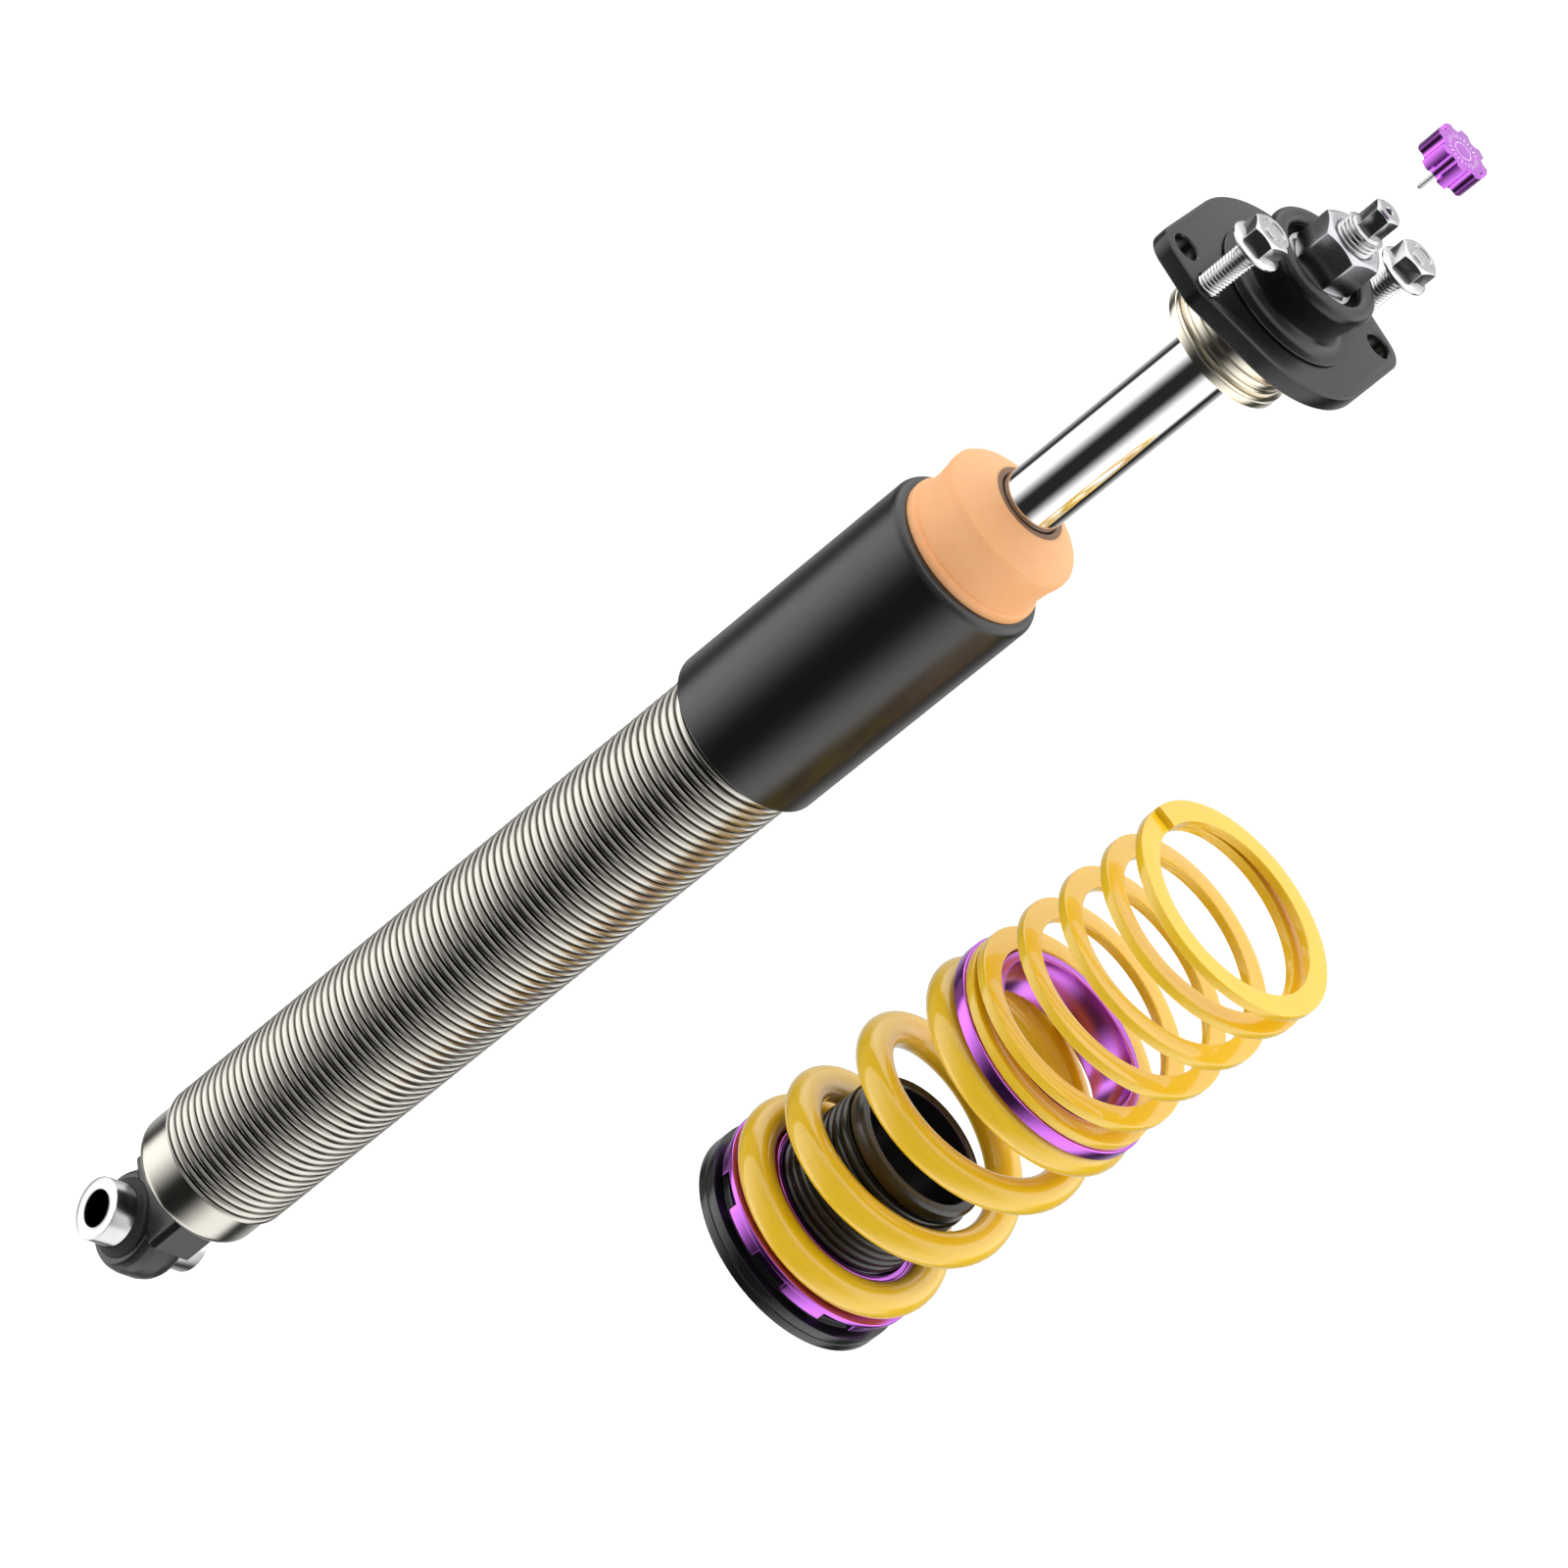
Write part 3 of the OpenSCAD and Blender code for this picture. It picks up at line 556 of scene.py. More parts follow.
# ---- Inside the body ----
# The twin-tube damper's working parts: foot dish and valve, pressure tube, rod guide
# with its bush, seal, wiper and gland nut, and the piston with its discs and stop.
plain = Finish("machined_steel")
plain_marks = plain.rings(0.35 * mm)
machined_steel = plain.surface(
    Base_Color=plain.mix(plain.noise(12 * mm), (0.50, 0.51, 0.53, 1), (0.60, 0.61, 0.62, 1)),
    Metallic=1.0,
    Roughness=0.24 + plain_marks * 0.12,
    Normal=plain.bump(plain_marks, 0.01 * mm),
)
porous = Finish("sintered_iron")
pores = porous.noise(0.5 * mm, 6.0)
sintered_iron = porous.surface(
    Base_Color=porous.mix(pores, (0.20, 0.19, 0.185, 1), (0.36, 0.35, 0.34, 1)),
    Metallic=0.9,
    Roughness=0.48 + pores * 0.15,
    Normal=porous.bump(pores, 0.04 * mm),
)
bearing = Finish("bearing_bronze")
bearing_marks = bearing.rings(0.4 * mm)
bearing_bronze = bearing.surface(
    Base_Color=bearing.mix(bearing_marks, (0.56, 0.37, 0.17, 1), (0.68, 0.47, 0.24, 1)),
    Metallic=1.0,
    Roughness=0.28 + bearing_marks * 0.1,
)
filled = Finish("brown_plastic")
flecks = filled.noise(0.8 * mm, 4.0)
brown_plastic = filled.surface(
    Base_Color=filled.mix(flecks, (0.20, 0.10, 0.05, 1), (0.30, 0.16, 0.085, 1)),
    Roughness=0.42 + flecks * 0.1,
    Normal=filled.bump(flecks, 0.01 * mm),
)
for node in (
    "base_dish", "pressure_tube", "gland_nut", "rebound_shims", "compression_shims", "piston_nut"
):
    coat(node, machined_steel)
for node in ("base_valve", "rod_guide", "piston"):
    coat(node, sintered_iron)
for node in ("rod_seal", "rod_wiper", "rebound_stop"):
    coat(node, seal_rubber)
coat("guide_bush", bearing_bronze)
coat("piston_band", brown_plastic)


# ---- Piston rod ----
# Ground and hard-chromed bar. A threaded stud with a hexagonal tip is turned on its
# upper end, and a bore runs down it for the damping adjuster's needle.
def hexagon(name, across, low, high, turn, chamfer, foot_chamfer=0):
    """A hexagonal prism with its corners turned off at the top, and at the foot if asked."""
    bpy.ops.object.select_all(action="DESELECT")
    corner = across / sqrt(3)
    bpy.ops.mesh.primitive_cylinder_add(
        vertices=6, radius=corner, depth=high - low, location=(0, 0, (low + high) / 2),
        rotation=(0, 0, radians(turn - 30)),
    )
    piece = bpy.context.object
    piece.name = name
    bpy.ops.object.transform_apply(location=True, rotation=True, scale=True)
    steepness = 0.58
    outside = corner + 2 * mm
    foot = [(0, low - mm), (outside, low - mm)]
    if foot_chamfer:
        flare = (outside - across / 2) * steepness
        foot = [(0, low), (across / 2 - foot_chamfer, low), (outside, low + flare)]
    slope = (outside - across / 2 + chamfer) * steepness
    cone = turned("cone", foot + [
        (outside, high - slope), (across / 2 - chamfer, high), (0, high)
    ])
    cut(piece, cone, "INTERSECT")
    return piece


chrome = Finish("hard_chrome")
ground = chrome.rings(0.12 * mm)
hard_chrome = chrome.surface(
    Base_Color=chrome.mix(chrome.noise(30 * mm), (0.77, 0.775, 0.78, 1), (0.82, 0.82, 0.815, 1)),
    Metallic=1.0,
    Roughness=0.055 + ground * 0.03,
    Normal=chrome.bump(ground, 0.0012 * mm),
)

_, rod_foot, rod_top, rod_r = extent("piston_rod")
cup_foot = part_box("support_cup")[0][2]
shoulder = cup_foot + 2 * mm
rod_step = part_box("rebound_stop")[0][2] - 25 * mm
_, nut_foot, nut_top, _ = extent("top_nut")
stud_r = 7 * mm
stud_pitch = 1.5 * mm
tip_across = 9 * mm
tip_foot = rod_top - 9 * mm
flats_turn = 42
needle_bore = 2 * mm
tip_bore = 1.25 * mm
rod = turned("piston_rod_bar", [
    (needle_bore, rod_foot), (5 * mm, rod_foot), (5 * mm, rod_step), (rod_r - 0.6 * mm, rod_step),
    (rod_r, rod_step + 0.6 * mm), (rod_r, shoulder - 0.6 * mm), (rod_r - 0.6 * mm, shoulder),
    (needle_bore, shoulder),
], 128)
smooth(rod, 32)
fit(rod, "rod", ["piston_rod"], hard_chrome)

stud_steel = Finish("stud_steel")
stud_marks = stud_steel.rings(0.2 * mm)
stud_cloud = stud_steel.noise(3 * mm, 4.0)
bright_steel = stud_steel.surface(
    Base_Color=stud_steel.mix(stud_cloud, (0.40, 0.40, 0.41, 1), (0.58, 0.58, 0.585, 1)),
    Metallic=1.0,
    Roughness=0.15 + stud_marks * 0.10,
    Normal=stud_steel.bump(stud_marks, 0.006 * mm),
)
core_r = stud_r - 1.2 * mm
stud = turned("rod_stud", [
    (needle_bore, shoulder), (stud_r, shoulder), (stud_r, nut_top - 0.6 * mm),
    (core_r, nut_top + 0.6 * mm), (core_r, tip_foot - 0.4 * mm),
    (core_r - 0.8 * mm, tip_foot + 0.3 * mm),
    (tip_bore, tip_foot + 0.3 * mm), (tip_bore, tip_foot - 3 * mm), (needle_bore, tip_foot - 3.1 * mm),
])
stud_thread = thread(
    "stud_thread", nut_top - stud_pitch, tip_foot - 0.5 * mm, stud_pitch, stud_r, stud_r - 0.9 * mm,
    stud_r - 1.5 * mm, steps=56, fullness=1.3
)
tip = hexagon("rod_tip", tip_across, tip_foot, rod_top, flats_turn, chamfer=0.8 * mm)
tip_hole = turned("tip_hole", [
    (0, tip_foot - mm), (tip_bore, tip_foot - mm), (tip_bore, rod_top - 0.4 * mm),
    (tip_bore + 0.7 * mm, rod_top + 0.3 * mm), (0, rod_top + 0.3 * mm),
], 48)
cut(tip, tip_hole)
soften(tip, 0.16 * mm, 2)
stud = joined("rod_stud", stud, stud_thread, tip)
smooth(stud, 32)
fit(stud, "rod", ["piston_rod"], bright_steel)


# ---- Cover tube ----
# A drawn steel sleeve that hangs from the bump stop over the body's top and keeps
# grit off the rod. Its rims are rolled, and it is powder-coated satin black.
powder = Finish("satin_black_powder")
peel = powder.noise(0.9 * mm, 3.0)
shade = powder.noise(26 * mm, 3.0)
satin_black = powder.surface(
    Base_Color=powder.mix(shade, (0.004, 0.004, 0.0042, 1), (0.007, 0.007, 0.0072, 1)),
    Roughness=0.27 + powder.noise(9 * mm) * 0.06,
    Normal=powder.bump(peel, 0.012 * mm),
    Specular_IOR_Level=0.7,
)

_, cover_foot, cover_top, cover_r = extent("cover_tube")
cover_wall = 2.5 * mm
cover_bore = cover_r - cover_wall
lip = cover_wall + mm
cover = turned("cover_sleeve", (
    arc(cover_r - cover_wall / 2, cover_foot + cover_wall / 2, cover_wall / 2, -180, 0, 8)
    + arc(cover_r - lip, cover_top - lip, lip, 0, 90, 10)
    + [(cover_bore - mm, cover_top - 0.7 * mm), (cover_bore - 0.9 * mm, cover_top - 1.6 * mm),
       (cover_bore, cover_top - 3 * mm)]
), 128)
smooth(cover, 40)
fit(cover, "cover", ["cover_tube"], satin_black)


# ---- Bump stop and its bush ----
# A soft peach polyurethane foam stop, pressed into the top of the cover. A plastic
# bush in its bore runs on the rod.
foam = Finish("peach_foam")
cells = foam.node("TexVoronoi", {"feature": "SMOOTH_F1"}, {
    "Vector": foam.here, "Scale": 1 / (0.55 * mm), "Smoothness": 0.6,
})
mottle = foam.noise(5 * mm, 4.0)
peach_foam = foam.surface(
    Base_Color=foam.mix(mottle, (1.0, 0.46, 0.19, 1), (1.0, 0.53, 0.25, 1)),
    Roughness=0.42 + mottle * 0.12,
    Normal=foam.bump(cells, 0.02 * mm),
    Subsurface_Weight=0.25, Subsurface_Radius=(0.9, 0.45, 0.2), Subsurface_Scale=0.002,
)
coat("bump_bush", brown_plastic)

_, stop_foot, stop_top, _ = extent("bump_stop")
stop_lip = cover_bore - mm
stop_bore = 13.5 * mm
stop_side = cover_bore - 0.3 * mm
stop_outline = [
    (stop_bore, stop_foot), (cover_bore - 4 * mm, stop_foot), (stop_side, stop_foot + 4 * mm),
    (stop_side, cover_top - 3 * mm), (stop_lip - 0.2 * mm, cover_top - 1.5 * mm),
    (stop_lip, cover_top + 1.4 * mm), (stop_lip - 0.2 * mm, cover_top + 2.6 * mm),
    (stop_lip - 1.4 * mm, cover_top + 3.1 * mm), (stop_lip - 1.65 * mm, cover_top + 5 * mm),
    (stop_lip - 1.8 * mm, cover_top + 7 * mm), (stop_lip - 1.7 * mm, cover_top + 10 * mm),
    (stop_lip - 1.4 * mm, cover_top + 13 * mm), (stop_lip - 0.8 * mm, cover_top + 16.4 * mm),
    (stop_lip - 0.62 * mm, cover_top + 18 * mm), (stop_lip - 0.75 * mm, cover_top + 19.2 * mm),
    (stop_lip - 1.6 * mm, cover_top + 20.4 * mm), (stop_bore + 3 * mm, stop_top - 1.7 * mm),
    (stop_bore + 1.3 * mm, stop_top - 0.5 * mm), (stop_bore + 0.8 * mm, stop_top),
    (stop_bore, stop_top),
]
bump = turned("bump_stop_foam", stop_outline, 128)
smooth(bump, 24)
fit(bump, "cover", ["bump_stop"], peach_foam)


# ---- Support cup and ring ----
# Two turned aluminium discs clamped on the rod's shoulder, which meet the bump stop
# at full bump. They are champagne anodised, with fine tool lines left on them.
champagne = Finish("champagne_anodised")
tool_lines = champagne.rings(0.22 * mm)
champagne_skin = champagne.surface(
    Base_Color=champagne.mix(tool_lines, (0.70, 0.64, 0.52, 1), (0.80, 0.75, 0.64, 1)),
    Metallic=1.0,
    Roughness=0.15 + tool_lines * 0.10,
    Normal=champagne.bump(tool_lines, 0.003 * mm),
)


def grooved(foot, top, radius, grooves, depth):
    """The outer side of a disc, with square grooves given as (height, width) pairs."""
    side = [(radius, foot)]
    for height, width in grooves:
        side += [(radius, height), (radius - depth, height + 0.15 * mm),
                 (radius - depth, height + width - 0.15 * mm), (radius, height + width)]
    return side + [(radius, top)]


_, cup_foot, cup_top, cup_r = extent("support_cup")
cup_side = grooved(cup_foot, cup_top, cup_r, [(cup_foot + 2.7 * mm, 0.45 * mm)], 0.3 * mm)
cup = turned("support_cup_disc", (
    [(stud_r, shoulder), (rod_r, shoulder), (rod_r, cup_foot)] + cup_side + [(stud_r, cup_top)]
), 128)
soften(cup, 0.12 * mm, 2)
fit(cup, "rod", ["support_cup"], champagne_skin)

_, ring_foot, ring_top, ring_r = extent("support_ring")
ring_side = grooved(ring_foot, ring_foot + 4.8 * mm, ring_r, [(ring_foot + 1.8 * mm, mm)], 0.7 * mm)
ring = turned("support_ring_disc", [(stud_r, ring_foot)] + ring_side + [
    (ring_r - 0.9 * mm, ring_foot + 4.9 * mm), (ring_r - 0.9 * mm, ring_foot + 5.5 * mm),
    (ring_r - 0.2 * mm, ring_foot + 5.6 * mm), (ring_r - 0.2 * mm, ring_top), (stud_r, ring_top),
], 128)
soften(ring, 0.12 * mm, 2)
fit(ring, "rod", ["support_ring"], champagne_skin)


# ---- Mount plate ----
# A thick aluminium plate with two pairs of lobes, milled and black anodised. Its
# edges are rounded over, and its four holes are countersunk.
def ring_of(piece, count, bearing, distance):
    """Copies a piece round the axis, each copy turned with its place and with its own
    mesh, from a first bearing in degrees. The copies are joined and the piece goes."""
    name = piece.name
    copies = []
    for k in range(count):
        pick(piece)
        bpy.ops.object.duplicate()
        copies.append(bpy.context.object)
        angle = radians(bearing + k * 360 / count)
        settle(copies[-1], at=(distance * cos(angle), distance * sin(angle), 0), turn=(0, 0, angle))
    pick(piece)
    bpy.ops.object.delete()
    return joined(name, *copies)


def lobe(name, radius, corners):
    """A round disc as thick as the plate, at the plate's middle."""
    bpy.ops.object.select_all(action="DESELECT")
    bpy.ops.mesh.primitive_cylinder_add(
        vertices=corners, radius=radius, depth=plate_top - plate_foot,
        location=(0, 0, (plate_foot + plate_top) / 2),
    )
    bpy.ops.object.transform_apply(location=True, rotation=True, scale=True)
    bpy.context.object.name = name
    return bpy.context.object


def drill(name, radius):
    """A cutter for a hole through the plate that is countersunk at both ends."""
    mouth = radius + 1.5 * mm
    return turned(name, [
        (0, plate_foot - mm), (mouth, plate_foot - mm), (radius, plate_foot + 0.5 * mm),
        (radius, plate_top - 0.5 * mm), (mouth, plate_top + mm), (0, plate_top + mm),
    ], 48)


hard_black = Finish("black_anodised")
mill = hard_black.noise(0.28 * mm, 3.0)
dye_depth = hard_black.noise(18 * mm)
black_skin = hard_black.surface(
    Base_Color=hard_black.mix(dye_depth, (0.004, 0.004, 0.0043, 1), (0.008, 0.008, 0.0085, 1)),
    Roughness=0.22 + mill * 0.10,
    Normal=hard_black.bump(mill, 0.004 * mm),
    Specular_IOR_Level=0.55,
)

_, plate_foot, plate_top, _ = extent("mount_plate")
plate_middle = 37 * mm
plate_opening = 17 * mm
hole_bearing, hole_distance, hole_r = -89.5, 42.2 * mm, 4.5 * mm
bolt_bearing, bolt_distance, bolt_hole_r = -70.6, 38.9 * mm, 4.05 * mm
plate = joined(
    "mount_plate_black", lobe("middle", plate_middle, 144),
    ring_of(lobe("hole_lobe", hole_r + 3.8 * mm, 72), 2, hole_bearing, hole_distance),
    ring_of(lobe("bolt_lobe", 6.8 * mm, 72), 2, bolt_bearing, bolt_distance)
)
bpy.ops.object.mode_set(mode="EDIT")
bpy.ops.mesh.select_all(action="SELECT")
bpy.ops.mesh.convex_hull()
bpy.ops.mesh.select_all(action="SELECT")
bpy.ops.mesh.dissolve_limited(angle_limit=radians(0.5))
bpy.ops.object.mode_set(mode="OBJECT")
soften(plate, 1.1 * mm, 3, 40)
opening = turned("opening", [
    (0, plate_foot - mm), (plate_opening, plate_foot - mm),
    (plate_opening, plate_top + mm), (0, plate_top + mm),
])
plain_holes = ring_of(drill("plain_hole", hole_r), 2, hole_bearing, hole_distance)
bolt_holes = ring_of(drill("bolt_hole", bolt_hole_r), 2, bolt_bearing, bolt_distance)
cut(plate, joined("holes", opening, plain_holes, bolt_holes))
smooth(plate, 30)
fit(plate, "mount", ["mount_plate"], black_skin)


# ---- Bearing dome ----
# The turned housing of the ball joint, pressed into the plate. A flange lies on the
# plate, and a waisted neck rises to a thick rolled rim.
_, dome_foot, dome_top, dome_flange = extent("bearing_dome")
dome_bore = 15 * mm
ledge_r = dome_bore - 2 * mm
sweep = 4 * mm
dome_rim = 21.3 * mm
rim_tube = (dome_rim - dome_bore) / 2
rim_middle = dome_rim - rim_tube
rim_height = dome_top - rim_tube
waist = dome_rim - 2.1 * mm
race_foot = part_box("bearing_race")[0][2]
flange_top = plate_top + mm
dome = turned("bearing_dome_black", (
    [(ledge_r, dome_foot), (ledge_r + 0.8 * mm, dome_foot), (ledge_r + 0.8 * mm, plate_foot + 1.5 * mm),
     (plate_opening, plate_foot + 1.5 * mm), (plate_opening, plate_top),
     (dome_flange - 0.4 * mm, plate_top), (dome_flange, plate_top + 0.4 * mm),
     (dome_flange, flange_top - 0.25 * mm), (dome_flange - 0.25 * mm, flange_top)]
    + arc(waist + sweep, flange_top + sweep, sweep, -90, -180, 10)
    + arc(rim_middle, rim_height, rim_tube, -40, 180, 22)
    + [(dome_bore, race_foot), (ledge_r, race_foot)]
), 128)
smooth(dome, 40)
fit(dome, "mount", ["bearing_dome"], black_skin)


# ---- Ball joint and top washer ----
# The chromed ball turns in a steel race that a snap ring keeps in the dome. A
# spacer below it and a thick washer above it clamp the ball on the rod's stud.
coat("bearing_ball", hard_chrome)
coat("bearing_race", machined_steel)
coat("ball_spacer", zinc_plate("zinc_spacer"))

satin = Finish("satin_zinc_nickel")
crystals = satin.noise(0.4 * mm, 5.0)
dark_steel = satin.surface(
    Base_Color=satin.mix(crystals, (0.44, 0.44, 0.46, 1), (0.56, 0.56, 0.58, 1)),
    Metallic=1.0,
    Roughness=0.20 + crystals * 0.10,
    Normal=satin.bump(crystals, 0.004 * mm),
)
_, clip_foot, clip_top, clip_r = extent("race_circlip")
clip_bore = clip_r - 1.8 * mm
clip = turned("snap_ring", [
    (clip_bore, clip_foot), (clip_r, clip_foot), (clip_r, clip_top), (clip_bore, clip_top)
])
gap = block("gap", 2.2 * mm, 3 * mm, clip_foot - mm, clip_top + mm)
settle(gap, at=(0, -clip_r, 0))
cut(clip, gap)
soften(clip, 0.15 * mm, 2)
fit(clip, "mount", ["race_circlip"], dark_steel)

_, washer_foot, washer_top, washer_r = extent("top_washer")
washer = turned("top_washer_disc", [
    (stud_r, washer_foot), (washer_r, washer_foot), (washer_r, washer_top), (stud_r, washer_top)
])
soften(washer, 0.5 * mm, 3)
fit(washer, "rod", ["top_washer"], zinc_plate("zinc_washer"))


# ---- Top nut ----
# A tall hexagon nut, satin zinc-nickel plated, with its upper corners turned off and
# a countersink where the stud comes out.
nut_across = 21 * mm
nut = hexagon("top_nut_hex", nut_across, nut_foot, nut_top, flats_turn, 0.9 * mm, 0.4 * mm)
nut_bore = turned("nut_bore", [
    (0, nut_foot - mm), (stud_r, nut_foot - mm), (stud_r, nut_top - 0.9 * mm),
    (stud_r + 1.9 * mm, nut_top + mm), (0, nut_top + mm),
], 64)
cut(nut, nut_bore)
soften(nut, 0.16 * mm, 2, 22)
fit(nut, "rod", ["top_nut"], dark_steel)


# ---- Mount bolts ----
# Two M8 bolts with a flange under the hexagon, forged and thread-rolled, and plated
# in bright zinc. They stand in their holes, not yet screwed down.
def mount_bolt(name, node, turn):
    """One bolt in the place of its CAD node, its hexagon turned by some degrees."""
    middle, foot, top, flange_r = extent(node)
    under = foot + 27 * mm
    shank_r = 4 * mm
    across = 13 * mm
    pitch = 1.25 * mm
    shank = turned("shank", [
        (0, foot), (shank_r - 1.1 * mm, foot), (shank_r - 0.65 * mm, foot + 0.5 * mm),
        (shank_r - 0.65 * mm, under - 2 * mm), (shank_r, under - 1.2 * mm),
        (shank_r, under), (flange_r - 0.3 * mm, under), (flange_r, under + 0.4 * mm),
        (flange_r, under + 0.9 * mm), (flange_r - 0.5 * mm, under + 1.3 * mm),
        (7 * mm, under + 2.1 * mm), (0, under + 2.3 * mm),
    ], 72)
    winding = thread(
        "winding", foot + 0.7 * mm, under - 1.4 * mm, pitch, shank_r, shank_r - 0.7 * mm,
        shank_r - 1.3 * mm, steps=40, fullness=1.2
    )
    head = hexagon("head", across, under + 1.2 * mm, top, turn, chamfer=0.5 * mm)
    recess = turned("recess", [
        (3.0 * mm, top - 0.5 * mm), (4.7 * mm, top - 0.5 * mm),
        (5.0 * mm, top + mm), (2.7 * mm, top + mm),
    ], 64)
    cut(head, recess)
    soften(head, 0.28 * mm, 2, 22)
    piece = joined(name, shank, winding, head)
    smooth(piece, 32)
    settle(piece, at=(middle[0], middle[1], 0))
    return piece


zinc_bolt = zinc_plate("zinc_bolts")
front_bolt = mount_bolt("mount_bolt_front", "front_mount_bolt", 42)
fit(front_bolt, "front_bolt", ["front_mount_bolt"], zinc_bolt)
rear_bolt = mount_bolt("mount_bolt_rear", "rear_mount_bolt", -10)
fit(rear_bolt, "rear_bolt", ["rear_mount_bolt"], zinc_bolt)


# ---- Rebound knob ----
# A small fluted aluminium knob, turned, milled and anodised bright purple, with a
# pale click scale printed on its top. Its thin pin turns the needle in the rod.
def purple_skin(name, centre=(0, 0)):
    """Bright purple dye under a clear anodised skin, over fine turning marks."""
    purple = Finish(name, centre)
    marks = purple.rings(0.2 * mm)
    dye = purple.noise(11 * mm, 3.0) * 0.6 + marks * 0.4
    return purple.surface(
        Base_Color=purple.mix(dye, (0.47, 0.10, 0.64, 1), (0.66, 0.19, 0.84, 1)),
        Metallic=1.0,
        Roughness=0.17 + marks * 0.09,
        Normal=purple.bump(marks, 0.004 * mm),
        Coat_Weight=0.3, Coat_Roughness=0.08,
    )


_, knob_foot, knob_top, _ = extent("rebound_knob")
knob_r = 10 * mm
lobes = 8
lobe_turn = 21.5
flute_r = knob_r * 0.24
knob = turned("rebound_knob_purple", [
    (0, knob_foot), (knob_r, knob_foot), (knob_r, knob_top), (0, knob_top)
], 160)
flute = turned("flute", [
    (0, knob_foot - mm), (flute_r, knob_foot - mm), (flute_r, knob_top + mm), (0, knob_top + mm)
], 40)
cut(knob, ring_of(flute, lobes, lobe_turn + 180 / lobes, knob_r + flute_r * 0.22))
soften(knob, 0.55 * mm, 3, 35)
socket_r = 4.9 * mm
cut(knob, turned("socket", [
    (0, knob_foot - mm), (socket_r, knob_foot - mm),
    (socket_r, knob_foot + 3 * mm), (0, knob_foot + 3 * mm),
]))
smooth(knob, 30)
fit(knob, "knob", ["rebound_knob"], purple_skin("purple_knob"))

scale_foot, scale_top = knob_top - 0.2 * mm, knob_top + 0.02 * mm
scale_step = 360 / (3 * lobes)
click_scale = joined(
    "knob_click_scale",
    turned("scale_ring", [
        (3.1 * mm, scale_foot), (3.35 * mm, scale_foot), (3.35 * mm, scale_top), (3.1 * mm, scale_top)
    ]),
    *[
        ring_of(
            block("mark", length * mm, 0.14 * mm, scale_foot, scale_top),
            lobes, lobe_turn + k * scale_step, 5.6 * mm
        )
        for k, length in enumerate((0.95, 0.45, 0.7))
    ]
)
ink = Finish("pale_scale_ink")
wear = ink.noise(0.6 * mm, 4.0)
fit(click_scale, "knob", ["rebound_knob"], ink.surface(
    Base_Color=ink.mix(wear, (0.80, 0.62, 0.86, 1), (0.95, 0.88, 0.97, 1)),
    Roughness=0.4 + wear * 0.2,
))

_, pin_foot, pin_top, pin_r = extent("knob_pin")
pin = turned("knob_pin_steel", [
    (0, pin_foot), (pin_r - 0.25 * mm, pin_foot), (pin_r, pin_foot + 0.4 * mm),
    (pin_r, pin_top), (0, pin_top),
], 32)
smooth(pin, 40)
fit(pin, "knob", ["knob_pin"], zinc_plate("zinc_pin"))
coat("adjuster_needle", machined_steel)


# ---- Base ring ----
# The foot of the spring unit: a thick aluminium ring with a stepped hub, turned and
# black anodised, that stands on the suspension arm.
unit, base_foot, base_top, base_r = extent("base_ring")
unit_black = Finish("unit_black_anodised", unit)
unit_marks = unit_black.rings(0.25 * mm)
unit_shade = unit_black.noise(20 * mm)
unit_skin = unit_black.surface(
    Base_Color=unit_black.mix(unit_shade, (0.005, 0.005, 0.0055, 1), (0.010, 0.010, 0.011, 1)),
    Roughness=0.16 + unit_marks * 0.12,
    Normal=unit_black.bump(unit_marks, 0.006 * mm),
    Specular_IOR_Level=0.7,
)
_, unit_foot, unit_top, unit_thread_r = extent("adjuster_sleeve")
step_up = base_top - 2.4 * mm
hub_r = base_r - 4.5 * mm
sleeve_r = unit_thread_r - 0.65 * mm
base_side = grooved(base_foot, step_up, base_r, [(base_foot + 3.15 * mm, 0.6 * mm)], 0.45 * mm)
base = turned("base_ring_black", (
    [(sleeve_r, base_foot)] + base_side + [(hub_r, step_up), (hub_r, base_top), (sleeve_r, base_top)]
), 128)
soften(base, 0.4 * mm, 3)
settle(base, at=(unit[0], unit[1], 0))
fit(base, "arm_side", ["base_ring"], unit_skin)


# ---- Adjuster sleeve ----
# A threaded aluminium tube, open right through, that slips over the arm's spigot.
# The collar climbs its thread, and its upper rim is left plain.
sleeve_bore = 22 * mm
sleeve_thread_top = unit_top - 6 * mm
sleeve_pitch = 3.4 * mm
under_thread = unit_thread_r - 1.5 * mm
sleeve = turned("adjuster_sleeve_black", [
    (sleeve_bore, unit_foot), (sleeve_r, unit_foot), (sleeve_r, base_top - 0.6 * mm),
    (under_thread, base_top), (under_thread, sleeve_thread_top + 0.4 * mm),
    (sleeve_r, sleeve_thread_top + 1.1 * mm), (sleeve_r, unit_top - mm), (sleeve_r - mm, unit_top),
    (sleeve_bore + 0.5 * mm, unit_top), (sleeve_bore, unit_top - 0.5 * mm),
], 128)
sleeve_thread = thread(
    "sleeve_thread", base_top + 0.1 * mm, sleeve_thread_top + 0.5 * mm, sleeve_pitch, unit_thread_r,
    unit_thread_r - 1.2 * mm, sleeve_bore + 1.2 * mm, steps=96, fullness=2.4
)
sleeve = joined("adjuster_sleeve_black", sleeve, sleeve_thread)
smooth(sleeve, 30)
settle(sleeve, at=(unit[0], unit[1], 0))
fit(sleeve, "arm_side", ["adjuster_sleeve"], unit_skin)


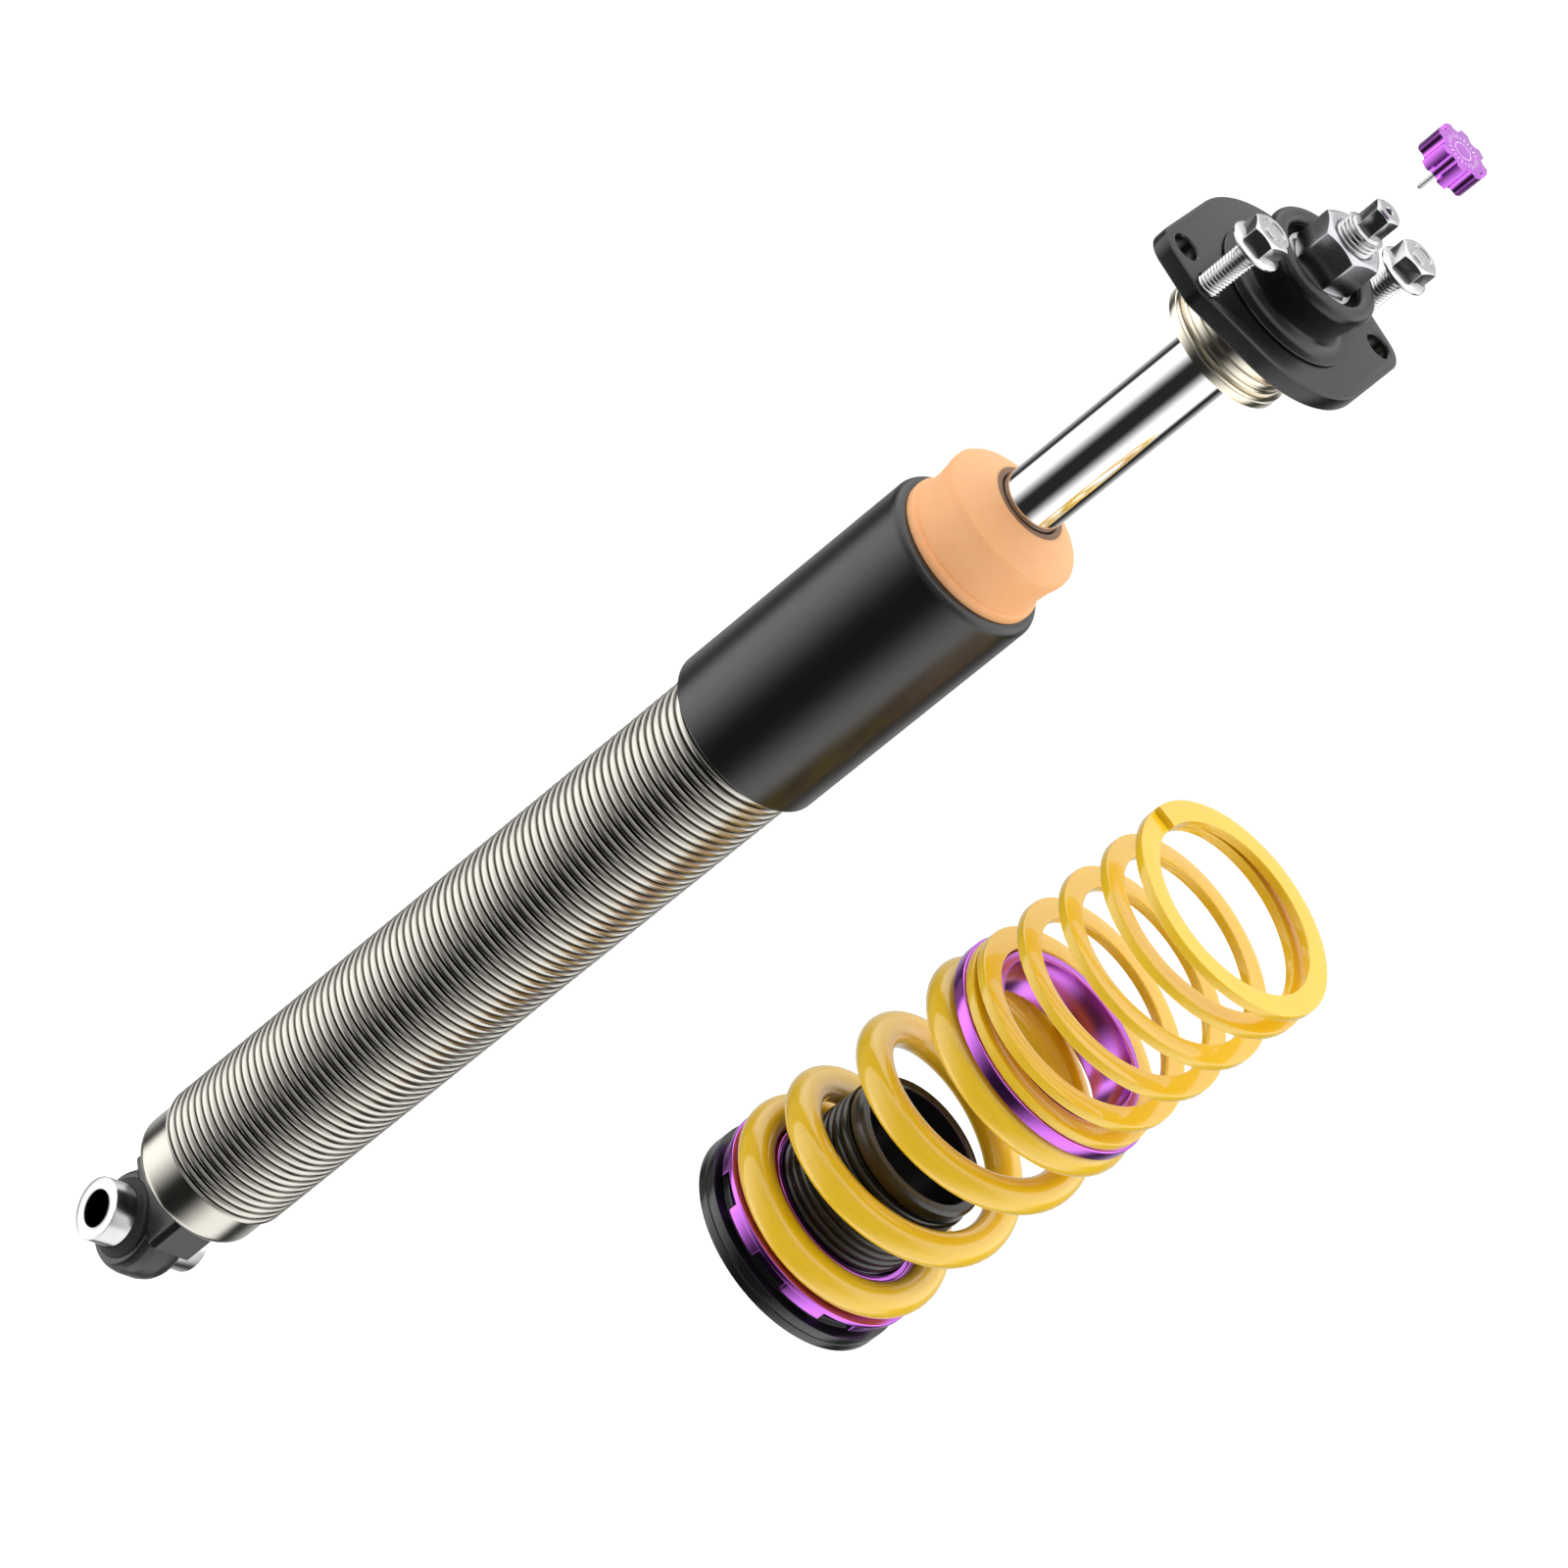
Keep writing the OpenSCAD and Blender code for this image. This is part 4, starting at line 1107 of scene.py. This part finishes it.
# ---- Adjuster collar ----
# The ring that is screwed up and down the sleeve to set the ride height. Eight
# square slots take a hook spanner. Turned, milled and purple anodised.
unit_purple = purple_skin("purple_spring_unit", unit)
_, collar_foot, collar_top, _ = extent("adjuster_collar")
collar_r = base_r - 1.7 * mm
unit_bearing = degrees(atan2(unit[1], unit[0]))
slot_half = collar_r * sin(radians(19.5 / 2))
thread_clear = unit_thread_r + 0.35 * mm
collar = turned("adjuster_collar_purple", [
    (thread_clear, collar_foot), (collar_r, collar_foot),
    (collar_r, collar_top), (thread_clear, collar_top),
], 128)
slot = block("slot", 5 * mm, slot_half, collar_foot - mm, collar_top + mm)
cut(collar, ring_of(slot, 8, unit_bearing - 90, collar_r))
soften(collar, 0.35 * mm, 3, 30)
settle(collar, at=(unit[0], unit[1], 0))
fit(collar, "collar", ["adjuster_collar"], unit_purple)


# ---- Spring seat ----
# A thin flange that rides on the collar and carries the main spring, with a neck
# that keeps the spring's first coil in the middle. Turned, purple anodised.
_, seat_foot, seat_top, seat_r = extent("spring_seat")
seat_face = seat_foot + 2 * mm
neck_r = seat_r - 11.3 * mm
seat = turned("spring_seat_purple", [
    (thread_clear, seat_foot), (seat_r, seat_foot), (seat_r, seat_face), (neck_r, seat_face),
    (neck_r, seat_top), (thread_clear, seat_top),
], 128)
soften(seat, 0.45 * mm, 3)
settle(seat, at=(unit[0], unit[1], 0))
fit(seat, "seat", ["spring_seat"], unit_purple)


# ---- Main spring ----
# Round chrome-silicon wire, coiled with closed ends and coated in gloss yellow. Its
# free coils open up evenly between the two flat ones.
def eased(turn, width):
    """A ramp that starts at 0 with a curve instead of a corner, width turns each side."""
    if turn < -width:
        return 0
    return turn if turn > width else (turn + width) ** 2 / (4 * width)


def coil(piece, rise, start, stop, ease, tail, per_turn):
    """Draws the piece, one open section of wire, along a right-hand coil about Z. It
    rises between the turns start and stop, and lies flat for tail turns outside them."""
    pitch = rise / (stop - start)
    first, last = start - tail, stop + tail
    steps = ceil((last - first) * per_turn)
    turn_step = (last - first) / steps
    turns = [first + k * turn_step for k in range(steps + 1)]
    heights = [pitch * (eased(turn - start, ease) - eased(turn - stop, ease)) for turn in turns]
    settle(piece, at=(0, 0, heights[0]), turn=(0, 0, 2 * pi * first))
    bpy.ops.object.mode_set(mode="EDIT")
    bpy.ops.mesh.select_mode(type="EDGE")
    bpy.ops.mesh.select_all(action="SELECT")
    bpy.ops.mesh.edge_face_add()
    bpy.ops.mesh.select_all(action="SELECT")
    for k in range(steps):
        lift = heights[k + 1] - heights[k]
        bpy.ops.mesh.extrude_region_move(TRANSFORM_OT_translate={"value": (0, 0, lift)})
        bpy.ops.transform.rotate(
            value=-2 * pi * turn_step, orient_axis="Z", center_override=(0, 0, 0), orient_type="GLOBAL"
        )
    seal_shell()
    bpy.ops.object.mode_set(mode="OBJECT")


enamel = Finish("gloss_yellow")
orange_peel = enamel.noise(1.6 * mm, 2.0)
gloss_yellow = enamel.surface(
    Base_Color=enamel.mix(enamel.noise(16 * mm, 3.0), (0.87, 0.53, 0.004, 1), (0.92, 0.59, 0.008, 1)),
    Roughness=0.30 + enamel.noise(7 * mm) * 0.08,
    Normal=enamel.bump(orange_peel, 0.010 * mm),
    Specular_IOR_Level=0.4, Coat_Weight=1.0, Coat_Roughness=0.05,
)

_, spring_plate_foot, spring_plate_top, plate_flange = extent("spring_plate")
wire_r = 6 * mm
coil_r = 35.75 * mm
spring_length = 103.2 * mm
plate_face = seat_face + spring_length
bpy.ops.object.select_all(action="DESELECT")
bpy.ops.mesh.primitive_circle_add(
    vertices=24, radius=wire_r, location=(coil_r, 0, seat_face + wire_r), rotation=(pi / 2, 0, 0)
)
bpy.ops.object.transform_apply(location=True, rotation=True, scale=True)
main_spring = bpy.context.object
main_spring.name = "main_spring_yellow"
coil(main_spring, rise=91.2 * mm, start=0.163, stop=2.874, ease=0.21, tail=0.64, per_turn=72)
soften(main_spring, 0.7 * mm, 3, 60)
settle(main_spring, at=(unit[0], unit[1], 0), turn=(0, 0, radians(unit_bearing - 90)))
main_spring.data.materials.append(gloss_yellow)
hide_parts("main_spring")
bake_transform(main_spring)


# ---- Spring plate ----
# The ring between the two springs. A flange carries both, and a neck above and
# below keeps them in line. Turned, purple anodised.
helper_face = plate_face + 4.6 * mm
low_neck_r = neck_r
high_neck_r = 31.2 * mm
plate_bore = low_neck_r - 1.7 * mm
divider = turned("spring_plate_purple", [
    (plate_bore, spring_plate_foot), (low_neck_r, spring_plate_foot), (low_neck_r, plate_face),
    (plate_flange, plate_face), (plate_flange, helper_face), (high_neck_r, helper_face),
    (high_neck_r, spring_plate_top), (plate_bore, spring_plate_top),
], 128)
soften(divider, 0.55 * mm, 3)
settle(divider, at=(unit[0], unit[1], 0))
fit(divider, "plate", ["spring_plate"], unit_purple)


# ---- Helper spring ----
# Flat wire rolled with round edges, coiled on edge into a soft spring that keeps the
# main spring seated when the wheel hangs. Coated in the same gloss yellow.
flat_w, flat_t = 8 * mm, 3.5 * mm
helper_r = 35.5 * mm
bpy.ops.object.select_all(action="DESELECT")
bpy.ops.mesh.primitive_plane_add(
    size=1, location=(helper_r, 0, helper_face + flat_t / 2), rotation=(pi / 2, 0, 0)
)
helper = bpy.context.object
helper.name = "helper_spring_yellow"
helper.scale = (flat_w, flat_t, 1)
bpy.ops.object.transform_apply(location=True, rotation=True, scale=True)
bpy.ops.object.mode_set(mode="EDIT")
bpy.ops.mesh.select_all(action="SELECT")
bpy.ops.mesh.bevel(offset=0.7 * mm, segments=3, affect="VERTICES")
bpy.ops.mesh.select_all(action="SELECT")
bpy.ops.mesh.delete(type="ONLY_FACE")
bpy.ops.object.mode_set(mode="OBJECT")
coil(helper, rise=77.5 * mm, start=0.586, stop=4.744, ease=0.49, tail=1.0, per_turn=60)
soften(helper, 0.4 * mm, 2, 60)
settle(helper, at=(unit[0], unit[1], 0), turn=(0, 0, radians(unit_bearing - 90)))
helper.data.materials.append(gloss_yellow)
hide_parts("helper_spring")
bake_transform(helper)
